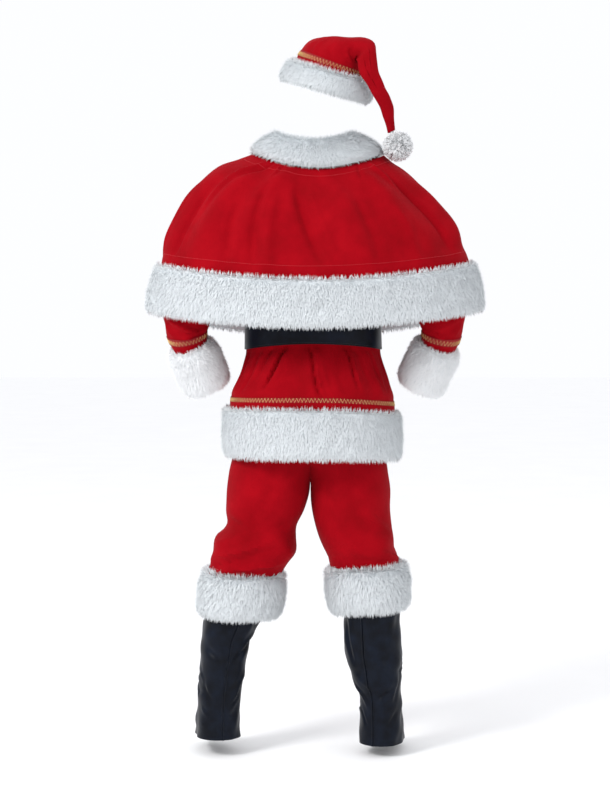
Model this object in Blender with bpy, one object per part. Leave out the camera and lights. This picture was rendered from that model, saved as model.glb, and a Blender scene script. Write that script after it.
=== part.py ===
"""Santa suit, worn and hollow: hat, shoulder cape, jacket, belt, trousers and boot covers.

Units are metres, +Z is up. The wearer would face +Y, so the back of the suit faces -Y. Heights in the tables
are measured from the floor that the wearer would stand on; the origin is between the wearer's shoulders.
"""

import math
from collections import namedtuple

import bmesh
import bpy
import numpy as np
from mathutils import Vector

SHOULDER_HEIGHT = 1.45
CLOTH = 0.002
LEATHER_CLOTH = 0.0022
SEAM_GAP = 0.0003
HEM_OUT = 0.0075
BRAID_THICKNESS = 0.0014
STRIP_THICKNESS = 0.0012
BELT_THICKNESS = 0.0028
PIPING_RADIUS = 0.0015

JACKET_PLUSH = 0.021
CAPE_PLUSH = 0.021
COLLAR_PLUSH = 0.024
CUFF_PLUSH = 0.019
HAT_PLUSH = 0.021
LEG_PLUSH = 0.028
POMPOM_RADIUS = 0.039

JACKET_COLUMNS = 20
CAPE_COLUMNS = 28
SLEEVE_COLUMNS = 16
TROUSER_COLUMNS = 9
LEG_BAND_COLUMNS = 24
BOOT_COLUMNS = 18
HAT_COLUMNS = 20

JACKET_HALF_WIDTH = 0.17
CAPE_HALF_WIDTH = 0.30
LEG_HALF_WIDTH = 0.09

FRONT = 90.0
LEFT = 180.0
ROUND = 2.0
TORSO_POWER = 2.25
CAPE_POWER = 2.2
LEG_POWER = 2.2
SHARP_EDGE = 50.0
LEVEL_STEP = 0.02
AXIS_REACH = 0.25

PLUSH_PROFILE = ((0.0, 0.5), (0.15, 0.92), (0.5, 1.0), (0.85, 0.92), (1.0, 0.5))

Finish = namedtuple("Finish", "colour roughness metallic")
RED_VELOUR = Finish((0.48, 0.0, 0.008), 0.85, 0.0)
WHITE_PLUSH = Finish((0.72, 0.75, 0.76), 0.95, 0.0)
GOLD_BRAID = Finish((0.60, 0.36, 0.10), 0.5, 0.2)
BLACK_LEATHER_CLOTH = Finish((0.010, 0.014, 0.024), 0.38, 0.0)
ELASTIC = Finish((0.35, 0.0, 0.006), 0.9, 0.0)
BUCKLE_METAL = Finish((0.55, 0.40, 0.16), 0.35, 1.0)

Ring = namedtuple("Ring", "left right back front left_z right_z back_z front_z x y")
Fold = namedtuple("Fold", "angle width depth top bottom drift")

JACKET_RINGS = (
    Ring(0.082, 0.082, 0.072, 0.078, 1.546, 1.546, 1.526, 1.500, 0.0, -0.008),
    Ring(0.120, 0.120, 0.094, 0.094, 1.527, 1.527, 1.494, 1.462, 0.0, -0.006),
    Ring(0.165, 0.165, 0.112, 0.108, 1.500, 1.500, 1.456, 1.425, 0.0, -0.004),
    Ring(0.193, 0.193, 0.124, 0.120, 1.462, 1.462, 1.410, 1.385, 0.0, 0.0),
    Ring(0.197, 0.197, 0.130, 0.128, 1.405, 1.405, 1.365, 1.345, 0.0, 0.0),
    Ring(0.193, 0.193, 0.130, 0.132, 1.335, 1.335, 1.305, 1.290, 0.0, 0.0),
    Ring(0.188, 0.188, 0.128, 0.135, 1.240, 1.240, 1.230, 1.220, 0.0, 0.0),
    Ring(0.181, 0.181, 0.125, 0.133, 1.160, 1.160, 1.165, 1.150, -0.002, 0.0),
    Ring(0.1705, 0.1705, 0.121, 0.129, 1.106, 1.106, 1.121, 1.092, -0.002, 0.0),
    Ring(0.1695, 0.1695, 0.120, 0.128, 1.066, 1.066, 1.081, 1.052, -0.002, 0.0),
    Ring(0.1695, 0.1695, 0.120, 0.128, 1.028, 1.028, 1.043, 1.014, -0.002, 0.0),
    Ring(0.1725, 0.1735, 0.127, 0.134, 1.006, 1.004, 1.018, 0.996, -0.002, 0.0),
    Ring(0.1845, 0.1850, 0.143, 0.148, 0.965, 0.962, 0.970, 0.960, -0.002, 0.0),
    Ring(0.2035, 0.2000, 0.158, 0.162, 0.926, 0.916, 0.928, 0.923, -0.002, 0.0),
    Ring(0.2070, 0.2030, 0.162, 0.166, 0.910, 0.898, 0.913, 0.908, -0.002, 0.0),
    Ring(0.2095, 0.2050, 0.165, 0.169, 0.896, 0.884, 0.899, 0.894, -0.002, 0.0),
    Ring(0.2115, 0.2065, 0.167, 0.171, 0.883, 0.870, 0.886, 0.882, -0.002, 0.0),
    Ring(0.2125, 0.2080, 0.171, 0.174, 0.757, 0.746, 0.756, 0.754, -0.002, 0.0),
)
BELT_ROWS = (8, 9, 10)
WAISTBAND_ROWS = (9, 10)
STRIP_TOP_ROW = 2
HEM_BRAID_ROWS = (14, 15)
JACKET_HEM = 16
JACKET_FOLDS = (
    Fold(268.0, 8.0, 0.007, 10.0, 13.8, 7.0),
    Fold(246.0, 8.0, 0.008, 10.0, 14.0, -12.0),
    Fold(296.0, 8.0, 0.007, 10.0, 13.8, 10.0),
    Fold(226.0, 8.0, 0.005, 10.0, 14.0, -6.0),
    Fold(320.0, 8.0, 0.006, 10.0, 14.0, 6.0),
    Fold(200.0, 9.0, 0.004, 10.0, 14.0, -3.0),
    Fold(342.0, 9.0, 0.004, 10.0, 14.0, 3.0),
    Fold(150.0, 9.0, 0.006, 10.0, 14.0, -5.0),
    Fold(118.0, 9.0, 0.006, 10.0, 14.0, -4.0),
    Fold(62.0, 9.0, 0.006, 10.0, 14.0, 4.0),
    Fold(30.0, 9.0, 0.006, 10.0, 14.0, 5.0),
)

CAPE_RINGS = (
    Ring(0.163, 0.167, 0.128, 0.112, 1.516, 1.514, 1.470, 1.445, 0.008, -0.004),
    Ring(0.196, 0.193, 0.145, 0.130, 1.503, 1.497, 1.447, 1.420, 0.004, -0.004),
    Ring(0.243, 0.226, 0.160, 0.148, 1.485, 1.478, 1.422, 1.395, 0.0, -0.002),
    Ring(0.298, 0.272, 0.174, 0.164, 1.436, 1.437, 1.388, 1.360, 0.0, 0.0),
    Ring(0.336, 0.320, 0.188, 0.178, 1.377, 1.388, 1.344, 1.318, 0.0, 0.0),
    Ring(0.362, 0.358, 0.201, 0.192, 1.325, 1.338, 1.295, 1.270, 0.0, 0.0),
    Ring(0.376, 0.374, 0.213, 0.205, 1.280, 1.288, 1.247, 1.222, 0.0, 0.0),
    Ring(0.386, 0.390, 0.222, 0.216, 1.244, 1.248, 1.204, 1.180, 0.0, 0.0),
    Ring(0.411, 0.419, 0.233, 0.229, 1.117, 1.122, 1.079, 1.055, 0.0, 0.0),
)
CAPE_HEM = 7
CAPE_TAB_ROWS = (0, 1)
CAPE_FOLDS = (
    Fold(247.0, 6.0, 0.014, 0.0, 5.5, -3.0),
    Fold(259.0, 5.0, -0.010, 0.6, 6.6, 16.0),
    Fold(282.0, 6.5, 0.012, 1.2, 7.0, 8.0),
    Fold(229.0, 7.0, 0.013, 0.8, 6.6, -6.0),
    Fold(214.0, 6.5, -0.009, 1.6, 7.0, -5.0),
    Fold(304.0, 7.0, 0.014, 0.3, 6.0, 8.0),
    Fold(324.0, 7.0, -0.009, 1.2, 7.0, 5.0),
    Fold(198.0, 7.0, 0.007, 2.0, 7.0, -4.0),
    Fold(341.0, 7.0, 0.007, 2.0, 7.0, 2.0),
    Fold(150.0, 9.0, 0.012, 1.0, 7.0, 0.0),
    Fold(118.0, 8.0, 0.012, 1.0, 7.0, 0.0),
    Fold(62.0, 8.0, 0.012, 1.0, 7.0, 0.0),
    Fold(30.0, 9.0, 0.012, 1.0, 7.0, 0.0),
)

COLLAR_RINGS = (
    Ring(0.0857, 0.0857, 0.0757, 0.0817, 1.560, 1.560, 1.540, 1.512, 0.0, -0.008),
    Ring(0.1220, 0.1240, 0.101, 0.099, 1.5415, 1.5405, 1.508, 1.480, 0.003, -0.006),
    Ring(0.1625, 0.1665, 0.1275, 0.1115, 1.5168, 1.5148, 1.4708, 1.4458, 0.008, -0.004),
)

SweepRow = namedtuple("SweepRow", "x y z half_x half_y")
SLEEVE_ROWS = (
    SweepRow(0.120, 0.004, 1.414, 0.088, 0.080),
    SweepRow(0.172, 0.000, 1.402, 0.087, 0.079),
    SweepRow(0.218, -0.010, 1.368, 0.083, 0.077),
    SweepRow(0.256, -0.024, 1.312, 0.077, 0.073),
    SweepRow(0.287, -0.039, 1.246, 0.070, 0.068),
    SweepRow(0.308, -0.052, 1.184, 0.063, 0.063),
    SweepRow(0.318, -0.060, 1.136, 0.057, 0.059),
    SweepRow(0.320, -0.058, 1.098, 0.053, 0.055),
    SweepRow(0.318, -0.052, 1.071, 0.050, 0.051),
    SweepRow(0.3145, -0.046, 1.053, 0.047, 0.048),
    SweepRow(0.3100, -0.040, 1.038, 0.044, 0.045),
    SweepRow(0.2980, -0.026, 1.006, 0.046, 0.048),
    SweepRow(0.2660, 0.006, 0.932, 0.050, 0.051),
)
CUFF_BRAID_ROWS = (8, 9)
SLEEVE_END = 10
ARMHOLE_DEPTH = 6
SLEEVE_FOLDS = (
    Fold(0.0, 55.0, 0.004, 5.6, 7.2, 30.0),
    Fold(200.0, 50.0, 0.005, 6.0, 7.8, -30.0),
    Fold(100.0, 60.0, 0.004, 3.6, 5.6, 20.0),
)

HIP_COLUMNS = "height back_rise front_rise centre share hip_x hip_back hip_front"
LEG_COLUMNS = "leg_x leg_half leg_back leg_front"
LegRow = namedtuple("LegRow", HIP_COLUMNS + " " + LEG_COLUMNS)
WAIST_ROW = LegRow(1.0272, 0.015, -0.014, -0.002, 1.0, 0.1655, 0.1160, 0.1240, 0.100, 0.095, 0.110, 0.110)
LOW_WAIST_ROW = LegRow(0.985, 0.010, -0.010, -0.003, 1.0, 0.167, 0.120, 0.125, 0.100, 0.095, 0.110, 0.110)
HIP_ROW = LegRow(0.925, 0.005, -0.005, -0.004, 1.0, 0.180, 0.136, 0.132, 0.100, 0.095, 0.110, 0.110)
LEFT_LEG_ROWS = (
    WAIST_ROW,
    LOW_WAIST_ROW,
    HIP_ROW,
    LegRow(0.850, 0.0, 0.0, -0.006, 0.97, 0.190, 0.146, 0.136, 0.105, 0.095, 0.115, 0.112),
    LegRow(0.775, 0.0, 0.0, -0.008, 0.75, 0.195, 0.144, 0.134, 0.108, 0.093, 0.118, 0.112),
    LegRow(0.720, 0.0, 0.0, -0.009, 0.38, 0.208, 0.138, 0.130, 0.1110, 0.1005, 0.116, 0.110),
    LegRow(0.672, 0.0, 0.0, -0.010, 0.00, 0.210, 0.130, 0.125, 0.1158, 0.1050, 0.112, 0.108),
    LegRow(0.622, 0.0, 0.0, -0.010, 0.00, 0.210, 0.130, 0.125, 0.1248, 0.0990, 0.108, 0.106),
    LegRow(0.585, 0.0, 0.0, -0.010, 0.00, 0.210, 0.130, 0.125, 0.1320, 0.0890, 0.101, 0.102),
    LegRow(0.552, 0.0, 0.0, -0.010, 0.00, 0.210, 0.130, 0.125, 0.1475, 0.1025, 0.106, 0.106),
    LegRow(0.515, 0.0, 0.0, -0.010, 0.00, 0.210, 0.130, 0.125, 0.1510, 0.1050, 0.109, 0.108),
    LegRow(0.488, 0.0, 0.0, -0.010, 0.00, 0.210, 0.130, 0.125, 0.1640, 0.0990, 0.103, 0.102),
    LegRow(0.4680, 0.0, 0.0, -0.010, 0.00, 0.210, 0.130, 0.125, 0.1765, 0.0940, 0.095, 0.095),
)
RIGHT_LEG_ROWS = (
    WAIST_ROW,
    LOW_WAIST_ROW,
    HIP_ROW,
    LegRow(0.850, 0.0, 0.0, -0.006, 0.97, 0.188, 0.146, 0.136, 0.100, 0.090, 0.115, 0.112),
    LegRow(0.775, 0.0, 0.0, -0.008, 0.75, 0.191, 0.144, 0.134, 0.098, 0.088, 0.118, 0.112),
    LegRow(0.720, 0.0, 0.0, -0.009, 0.38, 0.194, 0.138, 0.130, 0.0955, 0.0930, 0.116, 0.110),
    LegRow(0.672, 0.0, 0.0, -0.010, 0.00, 0.195, 0.130, 0.125, 0.0925, 0.1005, 0.112, 0.108),
    LegRow(0.622, 0.0, 0.0, -0.010, 0.00, 0.195, 0.130, 0.125, 0.0943, 0.0992, 0.108, 0.106),
    LegRow(0.585, 0.0, 0.0, -0.010, 0.00, 0.195, 0.130, 0.125, 0.0995, 0.0975, 0.103, 0.103),
    LegRow(0.552, 0.0, 0.0, -0.010, 0.00, 0.195, 0.130, 0.125, 0.1080, 0.0945, 0.103, 0.103),
    LegRow(0.523, 0.0, 0.0, -0.010, 0.00, 0.195, 0.130, 0.125, 0.1150, 0.0885, 0.101, 0.101),
    LegRow(0.506, 0.0, 0.0, -0.010, 0.00, 0.195, 0.130, 0.125, 0.1230, 0.0880, 0.097, 0.097),
    LegRow(0.4860, 0.0, 0.0, -0.010, 0.00, 0.195, 0.130, 0.125, 0.1300, 0.0890, 0.089, 0.089),
)
LEG_FOLDS = (
    Fold(290.0, 14.0, 0.007, 8.0, 10.6, 40.0),
    Fold(225.0, 14.0, 0.007, 8.6, 11.2, -30.0),
    Fold(250.0, 12.0, -0.004, 6.5, 9.5, 20.0),
    Fold(70.0, 16.0, 0.007, 8.0, 10.8, 30.0),
    Fold(140.0, 16.0, 0.006, 8.4, 11.0, -25.0),
)

LEFT_LEG_BAND = (
    Ring(0.0845, 0.0845, 0.086, 0.086, 0.473, 0.466, 0.4675, 0.464, -0.1785, 0.0),
    Ring(0.0880, 0.0880, 0.089, 0.089, 0.357, 0.350, 0.3520, 0.349, -0.1920, -0.004),
)
RIGHT_LEG_BAND = (
    Ring(0.0830, 0.0830, 0.085, 0.085, 0.474, 0.489, 0.4855, 0.482, 0.1325, 0.0),
    Ring(0.0825, 0.0825, 0.086, 0.086, 0.358, 0.374, 0.3690, 0.366, 0.1425, -0.004),
)

BootRow = namedtuple("BootRow", "height x y half_x back front front_drop")
LEFT_BOOT_ROWS = (
    BootRow(0.4450, -0.1814, -0.001, 0.0820, 0.0832, 0.0832, 0.0),
    BootRow(0.4000, -0.1925, 0.000, 0.0770, 0.0770, 0.0770, 0.0),
    BootRow(0.3500, -0.2045, -0.003, 0.0740, 0.0730, 0.0730, 0.0),
    BootRow(0.2850, -0.2246, -0.008, 0.0600, 0.0620, 0.0640, 0.0),
    BootRow(0.2070, -0.2350, -0.012, 0.0557, 0.0580, 0.0620, 0.0),
    BootRow(0.1400, -0.2420, -0.014, 0.0533, 0.0550, 0.0640, 0.0),
    BootRow(0.1050, -0.2430, -0.014, 0.0535, 0.0545, 0.0820, 0.0),
    BootRow(0.0750, -0.2430, -0.014, 0.0540, 0.0545, 0.1150, 0.004),
    BootRow(0.0450, -0.2420, -0.014, 0.0550, 0.0545, 0.1450, 0.012),
)
RIGHT_BOOT_ROWS = (
    BootRow(0.4600, 0.1342, -0.001, 0.0795, 0.0816, 0.0816, 0.0),
    BootRow(0.4100, 0.1410, 0.000, 0.0745, 0.0760, 0.0760, 0.0),
    BootRow(0.3600, 0.1470, -0.003, 0.0708, 0.0720, 0.0720, 0.0),
    BootRow(0.2600, 0.1530, -0.008, 0.0712, 0.0680, 0.0680, 0.0),
    BootRow(0.1950, 0.1600, -0.012, 0.0620, 0.0620, 0.0640, 0.0),
    BootRow(0.1450, 0.1690, -0.014, 0.0525, 0.0560, 0.0640, 0.0),
    BootRow(0.1050, 0.1700, -0.014, 0.0530, 0.0545, 0.0850, 0.0),
    BootRow(0.0700, 0.1700, -0.014, 0.0540, 0.0545, 0.1150, 0.004),
    BootRow(0.0300, 0.1700, -0.014, 0.0550, 0.0545, 0.1450, 0.006),
)
TOE_OUT = 14.0
LEFT_BOOT_SEAM = 270.0
RIGHT_BOOT_SEAM = 260.0
BOOT_FOLDS = (
    Fold(200.0, 40.0, 0.005, 2.2, 3.8, 40.0),
    Fold(330.0, 40.0, 0.005, 2.8, 4.6, -40.0),
    Fold(90.0, 45.0, 0.006, 4.0, 6.0, 0.0),
    Fold(300.0, 35.0, 0.004, 4.4, 6.0, -20.0),
)

HatRow = namedtuple("HatRow", "x y z tilt pitch half_height half_depth")
HAT_ROWS = (
    HatRow(0.1914, -0.0644, 1.5686, 156.0, 0.0, 0.0095, 0.0080),
    HatRow(0.1790, -0.088, 1.624, 158.0, 0.0, 0.0165, 0.0110),
    HatRow(0.1590, -0.110, 1.668, 166.0, 0.0, 0.0215, 0.0130),
    HatRow(0.1450, -0.122, 1.708, 172.0, 0.0, 0.0220, 0.0150),
    HatRow(0.1375, -0.113, 1.744, 158.0, 0.0, 0.0265, 0.0200),
    HatRow(0.1280, -0.086, 1.774, 122.0, 0.0, 0.0270, 0.0320),
    HatRow(0.1050, -0.058, 1.776, 84.0, 0.0, 0.0340, 0.0520),
    HatRow(0.0820, -0.032, 1.769, 54.0, 3.0, 0.0520, 0.0740),
    HatRow(0.0600, -0.012, 1.755, 27.0, 7.0, 0.0780, 0.0940),
    HatRow(0.0530, -0.004, 1.748, 19.0, 9.0, 0.0880, 0.1020),
    HatRow(0.0500, -0.002, 1.738, 17.0, 9.0, 0.0915, 0.1050),
    HatRow(0.0460, 0.000, 1.728, 15.0, 9.0, 0.0940, 0.1080),
    HatRow(0.0230, 0.004, 1.672, 15.0, 9.0, 0.1060, 0.1180),
)
HAT_BRAID_ROWS = (9, 10)
HAT_BRIM = 11

BUCKLE_HALF_WIDTH = 0.040
BUCKLE_BAR = 0.011
BUCKLE_THICKNESS = 0.004


def blended(rows, level):
    """The row of a table at a whole or broken level, on a smooth curve through the rows."""
    level = min(max(level, 0.0), len(rows) - 1.0)
    start = min(int(level), len(rows) - 2)
    t = level - start
    before = np.array(rows[max(start - 1, 0)])
    here = np.array(rows[start])
    there = np.array(rows[start + 1])
    after = np.array(rows[min(start + 2, len(rows) - 1)])
    slope_here = (there - before) / 2.0
    slope_there = (after - here) / 2.0
    here_share = 2.0 * t**3 - 3.0 * t**2 + 1.0
    mix = here_share * here + (1.0 - here_share) * there
    mix = mix + (t**3 - 2.0 * t**2 + t) * slope_here + (t**3 - t**2) * slope_there
    return type(rows[0])(*(float(value) for value in mix))


def smooth_step(value):
    value = min(max(value, 0.0), 1.0)
    return value * value * (3.0 - 2.0 * value)


def fold_height(folds, angle, level):
    """How far the folds stand out; each rises over its first third and fades over its last."""
    height = 0.0
    for fold in folds:
        way = (level - fold.top) / (fold.bottom - fold.top)
        if not 0.0 < way < 1.0:
            continue
        centre = fold.angle + fold.drift * way
        off = (angle - centre + 180.0) % 360.0 - 180.0
        strength = smooth_step(3.0 * way) * smooth_step(3.0 * (1.0 - way))
        height += fold.depth * strength * math.exp(-((off / fold.width) ** 2))
    return height


def oval(angle, power):
    """Unit oval, squarer than an ellipse where power is over 2."""
    across = math.cos(math.radians(angle))
    along = math.sin(math.radians(angle))
    size = (abs(across) ** power + abs(along) ** power) ** (-1.0 / power)
    return across * size, along * size


class Form:
    """A surface around a body or limb: angle in degrees (0 at +X, 90 at the front), level down its rows."""

    def __init__(self, rows, folds=()):
        self.rows = rows
        self.folds = folds

    def plain(self, angle, level):
        raise NotImplementedError

    def normal_of(self, place, angle, level):
        high = max(level - LEVEL_STEP, 0.0)
        low = min(level + LEVEL_STEP, len(self.rows) - 1.0)
        down = place(angle, low) - place(angle, high)
        around = place(angle + LEVEL_STEP, level) - place(angle - LEVEL_STEP, level)
        return down.cross(around).normalized()

    def point(self, angle, level):
        place = self.plain(angle, level)
        height = fold_height(self.folds, angle, level)
        if height:
            place = place + height * self.normal_of(self.plain, angle, level)
        return place

    def normal(self, angle, level):
        return self.normal_of(self.point, angle, level)


class BodyForm(Form):
    """Rings round the body."""

    def __init__(self, rows, folds=(), power=TORSO_POWER):
        super().__init__(rows, folds)
        self.power = power

    def plain(self, angle, level):
        row = blended(self.rows, level)
        across, along = oval(angle, self.power)
        x = row.x + across * (row.right if across > 0 else row.left)
        y = row.y + along * (row.front if along > 0 else row.back)
        side_z = row.right_z if across > 0 else row.left_z
        end_z = row.front_z if along > 0 else row.back_z
        share = math.cos(math.radians(angle)) ** 2
        return Vector((x, y, side_z * share + end_z * (1.0 - share)))


class SleeveForm(Form):
    """Rings square to a bent centre line; side is -1 on the left and 1 on the right."""

    def __init__(self, rows, side, folds=()):
        super().__init__(rows, folds)
        self.side = side

    def centre(self, level):
        row = blended(self.rows, level)
        return Vector((self.side * row.x, row.y, row.z))

    def plain(self, angle, level):
        row = blended(self.rows, level)
        last = len(self.rows) - 1.0
        way = self.centre(min(level + AXIS_REACH, last)) - self.centre(max(level - AXIS_REACH, 0.0))
        way.normalize()
        forward = Vector((0.0, 1.0, 0.0))
        forward = (forward - forward.dot(way) * way).normalized()
        sideways = way.cross(forward)
        across, along = oval(angle, ROUND)
        return self.centre(level) + across * row.half_x * sideways + along * row.half_y * forward


class LegForm(Form):
    """Half of the trousers: a tube below the crotch that opens to half of the hips above it.

    angle runs from the inner edge round the outside and back: 0 to 360.
    """

    def __init__(self, rows, side, folds=()):
        super().__init__(rows, folds)
        self.side = side

    def plain(self, angle, level):
        row = blended(self.rows, level)
        leg_angle = angle if self.side < 0 else angle + 180.0
        hip_angle = angle / 2.0 + (90.0 if self.side < 0 else 270.0)
        across, along = oval(leg_angle, LEG_POWER)
        leg = Vector((self.side * row.leg_x + across * row.leg_half,
                      along * (row.leg_front if along > 0 else row.leg_back), row.height))
        across, along = oval(hip_angle, TORSO_POWER)
        hip = Vector((row.centre + across * row.hip_x,
                      along * (row.hip_front if along > 0 else row.hip_back), row.height))
        place = leg.lerp(hip, row.share)
        end_rise = row.front_rise if along > 0 else row.back_rise
        place.z += end_rise * (1.0 - math.cos(math.radians(hip_angle)) ** 2)
        return place


class BootForm(Form):
    """Rings round a lower leg and foot, turned so that the toes point a little outwards."""

    def __init__(self, rows, side, folds=()):
        super().__init__(rows, folds)
        self.turn = math.radians(-side * TOE_OUT)

    def plain(self, angle, level):
        row = blended(self.rows, level)
        across, along = oval(angle, ROUND)
        x = across * row.half_x
        y = along * (row.front if along > 0 else row.back)
        front_share = max(along, 0.0) ** 2
        turned_x = x * math.cos(self.turn) - y * math.sin(self.turn)
        turned_y = x * math.sin(self.turn) + y * math.cos(self.turn)
        return Vector((row.x + turned_x, row.y + turned_y, row.height - row.front_drop * front_share))


class HatForm(Form):
    """Rings of the hat from the tip of its tail to the brim; tilt leans a ring's axis from up towards +X."""

    def plain(self, angle, level):
        row = blended(self.rows, level)
        tilt = math.radians(row.tilt)
        pitch = math.radians(row.pitch)
        sideways = Vector((math.cos(tilt), 0.0, -math.sin(tilt)))
        forward = Vector((0.0, math.cos(pitch), math.sin(pitch)))
        across, along = oval(angle, ROUND)
        centre = Vector((row.x, row.y, row.z))
        return centre + across * row.half_height * sideways + along * row.half_depth * forward


def spread(start, end, count):
    """count equal steps from start to end, both ends kept."""
    return [float(value) for value in np.linspace(start, end, count + 1)]


def new_object(name, mesh, finish, collection, floor):
    material = bpy.data.materials.new(name)
    material.use_nodes = True
    shader = material.node_tree.nodes["Principled BSDF"]
    shader.inputs["Base Color"].default_value = (*finish.colour, 1.0)
    shader.inputs["Roughness"].default_value = finish.roughness
    shader.inputs["Metallic"].default_value = finish.metallic
    mesh.materials.append(material)
    obj = bpy.data.objects.new(name, mesh)
    collection.objects.link(obj)
    obj.parent = floor
    return obj


def lofted_mesh(name, loops, closed, turn):
    """A closed body through cross-section loops, which run down the outside and come back up from point turn.

    Open ends are closed by joining point k to the k-th last.
    """
    shape = bmesh.new()
    verts = [[shape.verts.new(place) for place in loop] for loop in loops]
    count = len(loops[0])
    pairs = list(zip(verts, verts[1:]))
    if closed:
        pairs.append((verts[-1], verts[0]))
    for here, there in pairs:
        for k in range(count):
            after = (k + 1) % count
            if k < turn:
                shape.faces.new((here[k], here[after], there[after]))
                shape.faces.new((here[k], there[after], there[k]))
            else:
                shape.faces.new((here[k], here[after], there[k]))
                shape.faces.new((here[after], there[after], there[k]))
    if not closed:
        for loop in (verts[0], verts[-1]):
            for k in range((count - 1) // 2):
                corners = [loop[k], loop[k + 1], loop[count - 2 - k], loop[count - 1 - k]]
                corners = sorted(set(corners), key=corners.index)
                shape.faces.new(corners[:3])
                if len(corners) == 4:
                    shape.faces.new((corners[0], corners[2], corners[3]))
    bmesh.ops.recalc_face_normals(shape, faces=shape.faces)
    mesh = bpy.data.meshes.new(name)
    shape.to_mesh(mesh)
    shape.free()
    mesh.shade_smooth()
    mesh.set_sharp_from_angle(angle=math.radians(SHARP_EDGE))
    return mesh


def wall_loops(form, angles, levels, outer, inner):
    """Cross-sections of a wall whose faces lie outer and inner metres out of the form."""
    loops = []
    for angle in angles:
        places = [form.point(angle, level) for level in levels]
        normals = [form.normal(angle, level) for level in levels]
        outside = [place + outer * normal for place, normal in zip(places, normals)]
        inside = [place + inner * normal for place, normal in zip(places, normals)]
        loops.append(outside + inside[::-1])
    return loops


def plush_loops(form, angles, top, bottom, thickness):
    """Cross-sections of a plush band: flat inside, rounded outside as far as the pile reaches."""
    loops = []
    for angle in angles:
        loop = [form.point(angle, top) - CLOTH * form.normal(angle, top)]
        for fall, out in PLUSH_PROFILE:
            level = top + fall * (bottom - top)
            loop.append(form.point(angle, level) + out * thickness * form.normal(angle, level))
        loop.append(form.point(angle, bottom) - CLOTH * form.normal(angle, bottom))
        loops.append(loop)
    return loops


class Suit:
    """Collects the pieces in one collection, and the cutters in another."""

    def __init__(self):
        self.pieces = bpy.data.collections.new("santa_suit")
        self.cutters = bpy.data.collections.new("santa_suit_cutters")
        bpy.context.scene.collection.children.link(self.pieces)
        bpy.context.scene.collection.children.link(self.cutters)
        self.floor = bpy.data.objects.new("floor_under_wearer", None)
        self.floor.location = (0.0, 0.0, -SHOULDER_HEIGHT)
        self.pieces.objects.link(self.floor)

    def add(self, name, mesh, finish):
        return new_object(name, mesh, finish, self.pieces, self.floor)

    def wall(self, name, form, angles, levels, finish, outer=0.0, thickness=CLOTH, closed=False):
        loops = wall_loops(form, angles, levels, outer, outer - thickness)
        return self.add(name, lofted_mesh(name, loops, closed, len(levels)), finish)

    def plush(self, name, form, angles, top, bottom, thickness, closed=False):
        loops = plush_loops(form, angles, top, bottom, thickness)
        return self.add(name, lofted_mesh(name, loops, closed, len(PLUSH_PROFILE) + 1), WHITE_PLUSH)

    def cutter(self, name, loops):
        """A closed body with flat ends, from loops that run round it."""
        shape = bmesh.new()
        rings = [[shape.verts.new(place) for place in loop] for loop in loops]
        for upper, lower in zip(rings, rings[1:]):
            for k in range(len(upper)):
                after = (k + 1) % len(upper)
                shape.faces.new((upper[k], lower[after], upper[after]))
                shape.faces.new((upper[k], lower[k], lower[after]))
        for ring in (rings[0], rings[-1]):
            middle = shape.verts.new(sum((vert.co for vert in ring), Vector()) / len(ring))
            for k, vert in enumerate(ring):
                shape.faces.new((vert, ring[(k + 1) % len(ring)], middle))
        bmesh.ops.recalc_face_normals(shape, faces=shape.faces)
        mesh = bpy.data.meshes.new(name)
        shape.to_mesh(mesh)
        shape.free()
        obj = bpy.data.objects.new(name, mesh)
        obj.parent = self.floor
        obj.hide_render = True
        obj.display_type = "WIRE"
        self.cutters.objects.link(obj)
        return obj

    def cut(self, piece, cutter):
        boolean = piece.modifiers.new(cutter.name, "BOOLEAN")
        boolean.operation = "DIFFERENCE"
        boolean.object = cutter


def round_angles(columns):
    return spread(0.0, 360.0, columns)[:-1]


def seam_turn(radius):
    """Half of the seam gap as an angle at this distance from the axis."""
    return math.degrees(SEAM_GAP / 2.0 / radius)


def mirrored(folds):
    """The same folds on the other side of the body."""
    return [fold._replace(angle=180.0 - fold.angle, drift=-fold.drift) for fold in folds]


def ring_cuts(form, angles, levels, out):
    """Loops round a form at the given levels, moved out by the given distance."""
    rings = []
    for level in levels:
        rings.append([form.point(angle, level) + out * form.normal(angle, level) for angle in angles])
    return rings


def panel_angles(start, end, columns, radius):
    """Equal columns from seam to seam; the two edges stand back half of the seam gap."""
    angles = spread(start, end, columns)
    angles[0] += seam_turn(radius)
    angles[-1] -= seam_turn(radius)
    return angles


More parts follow.
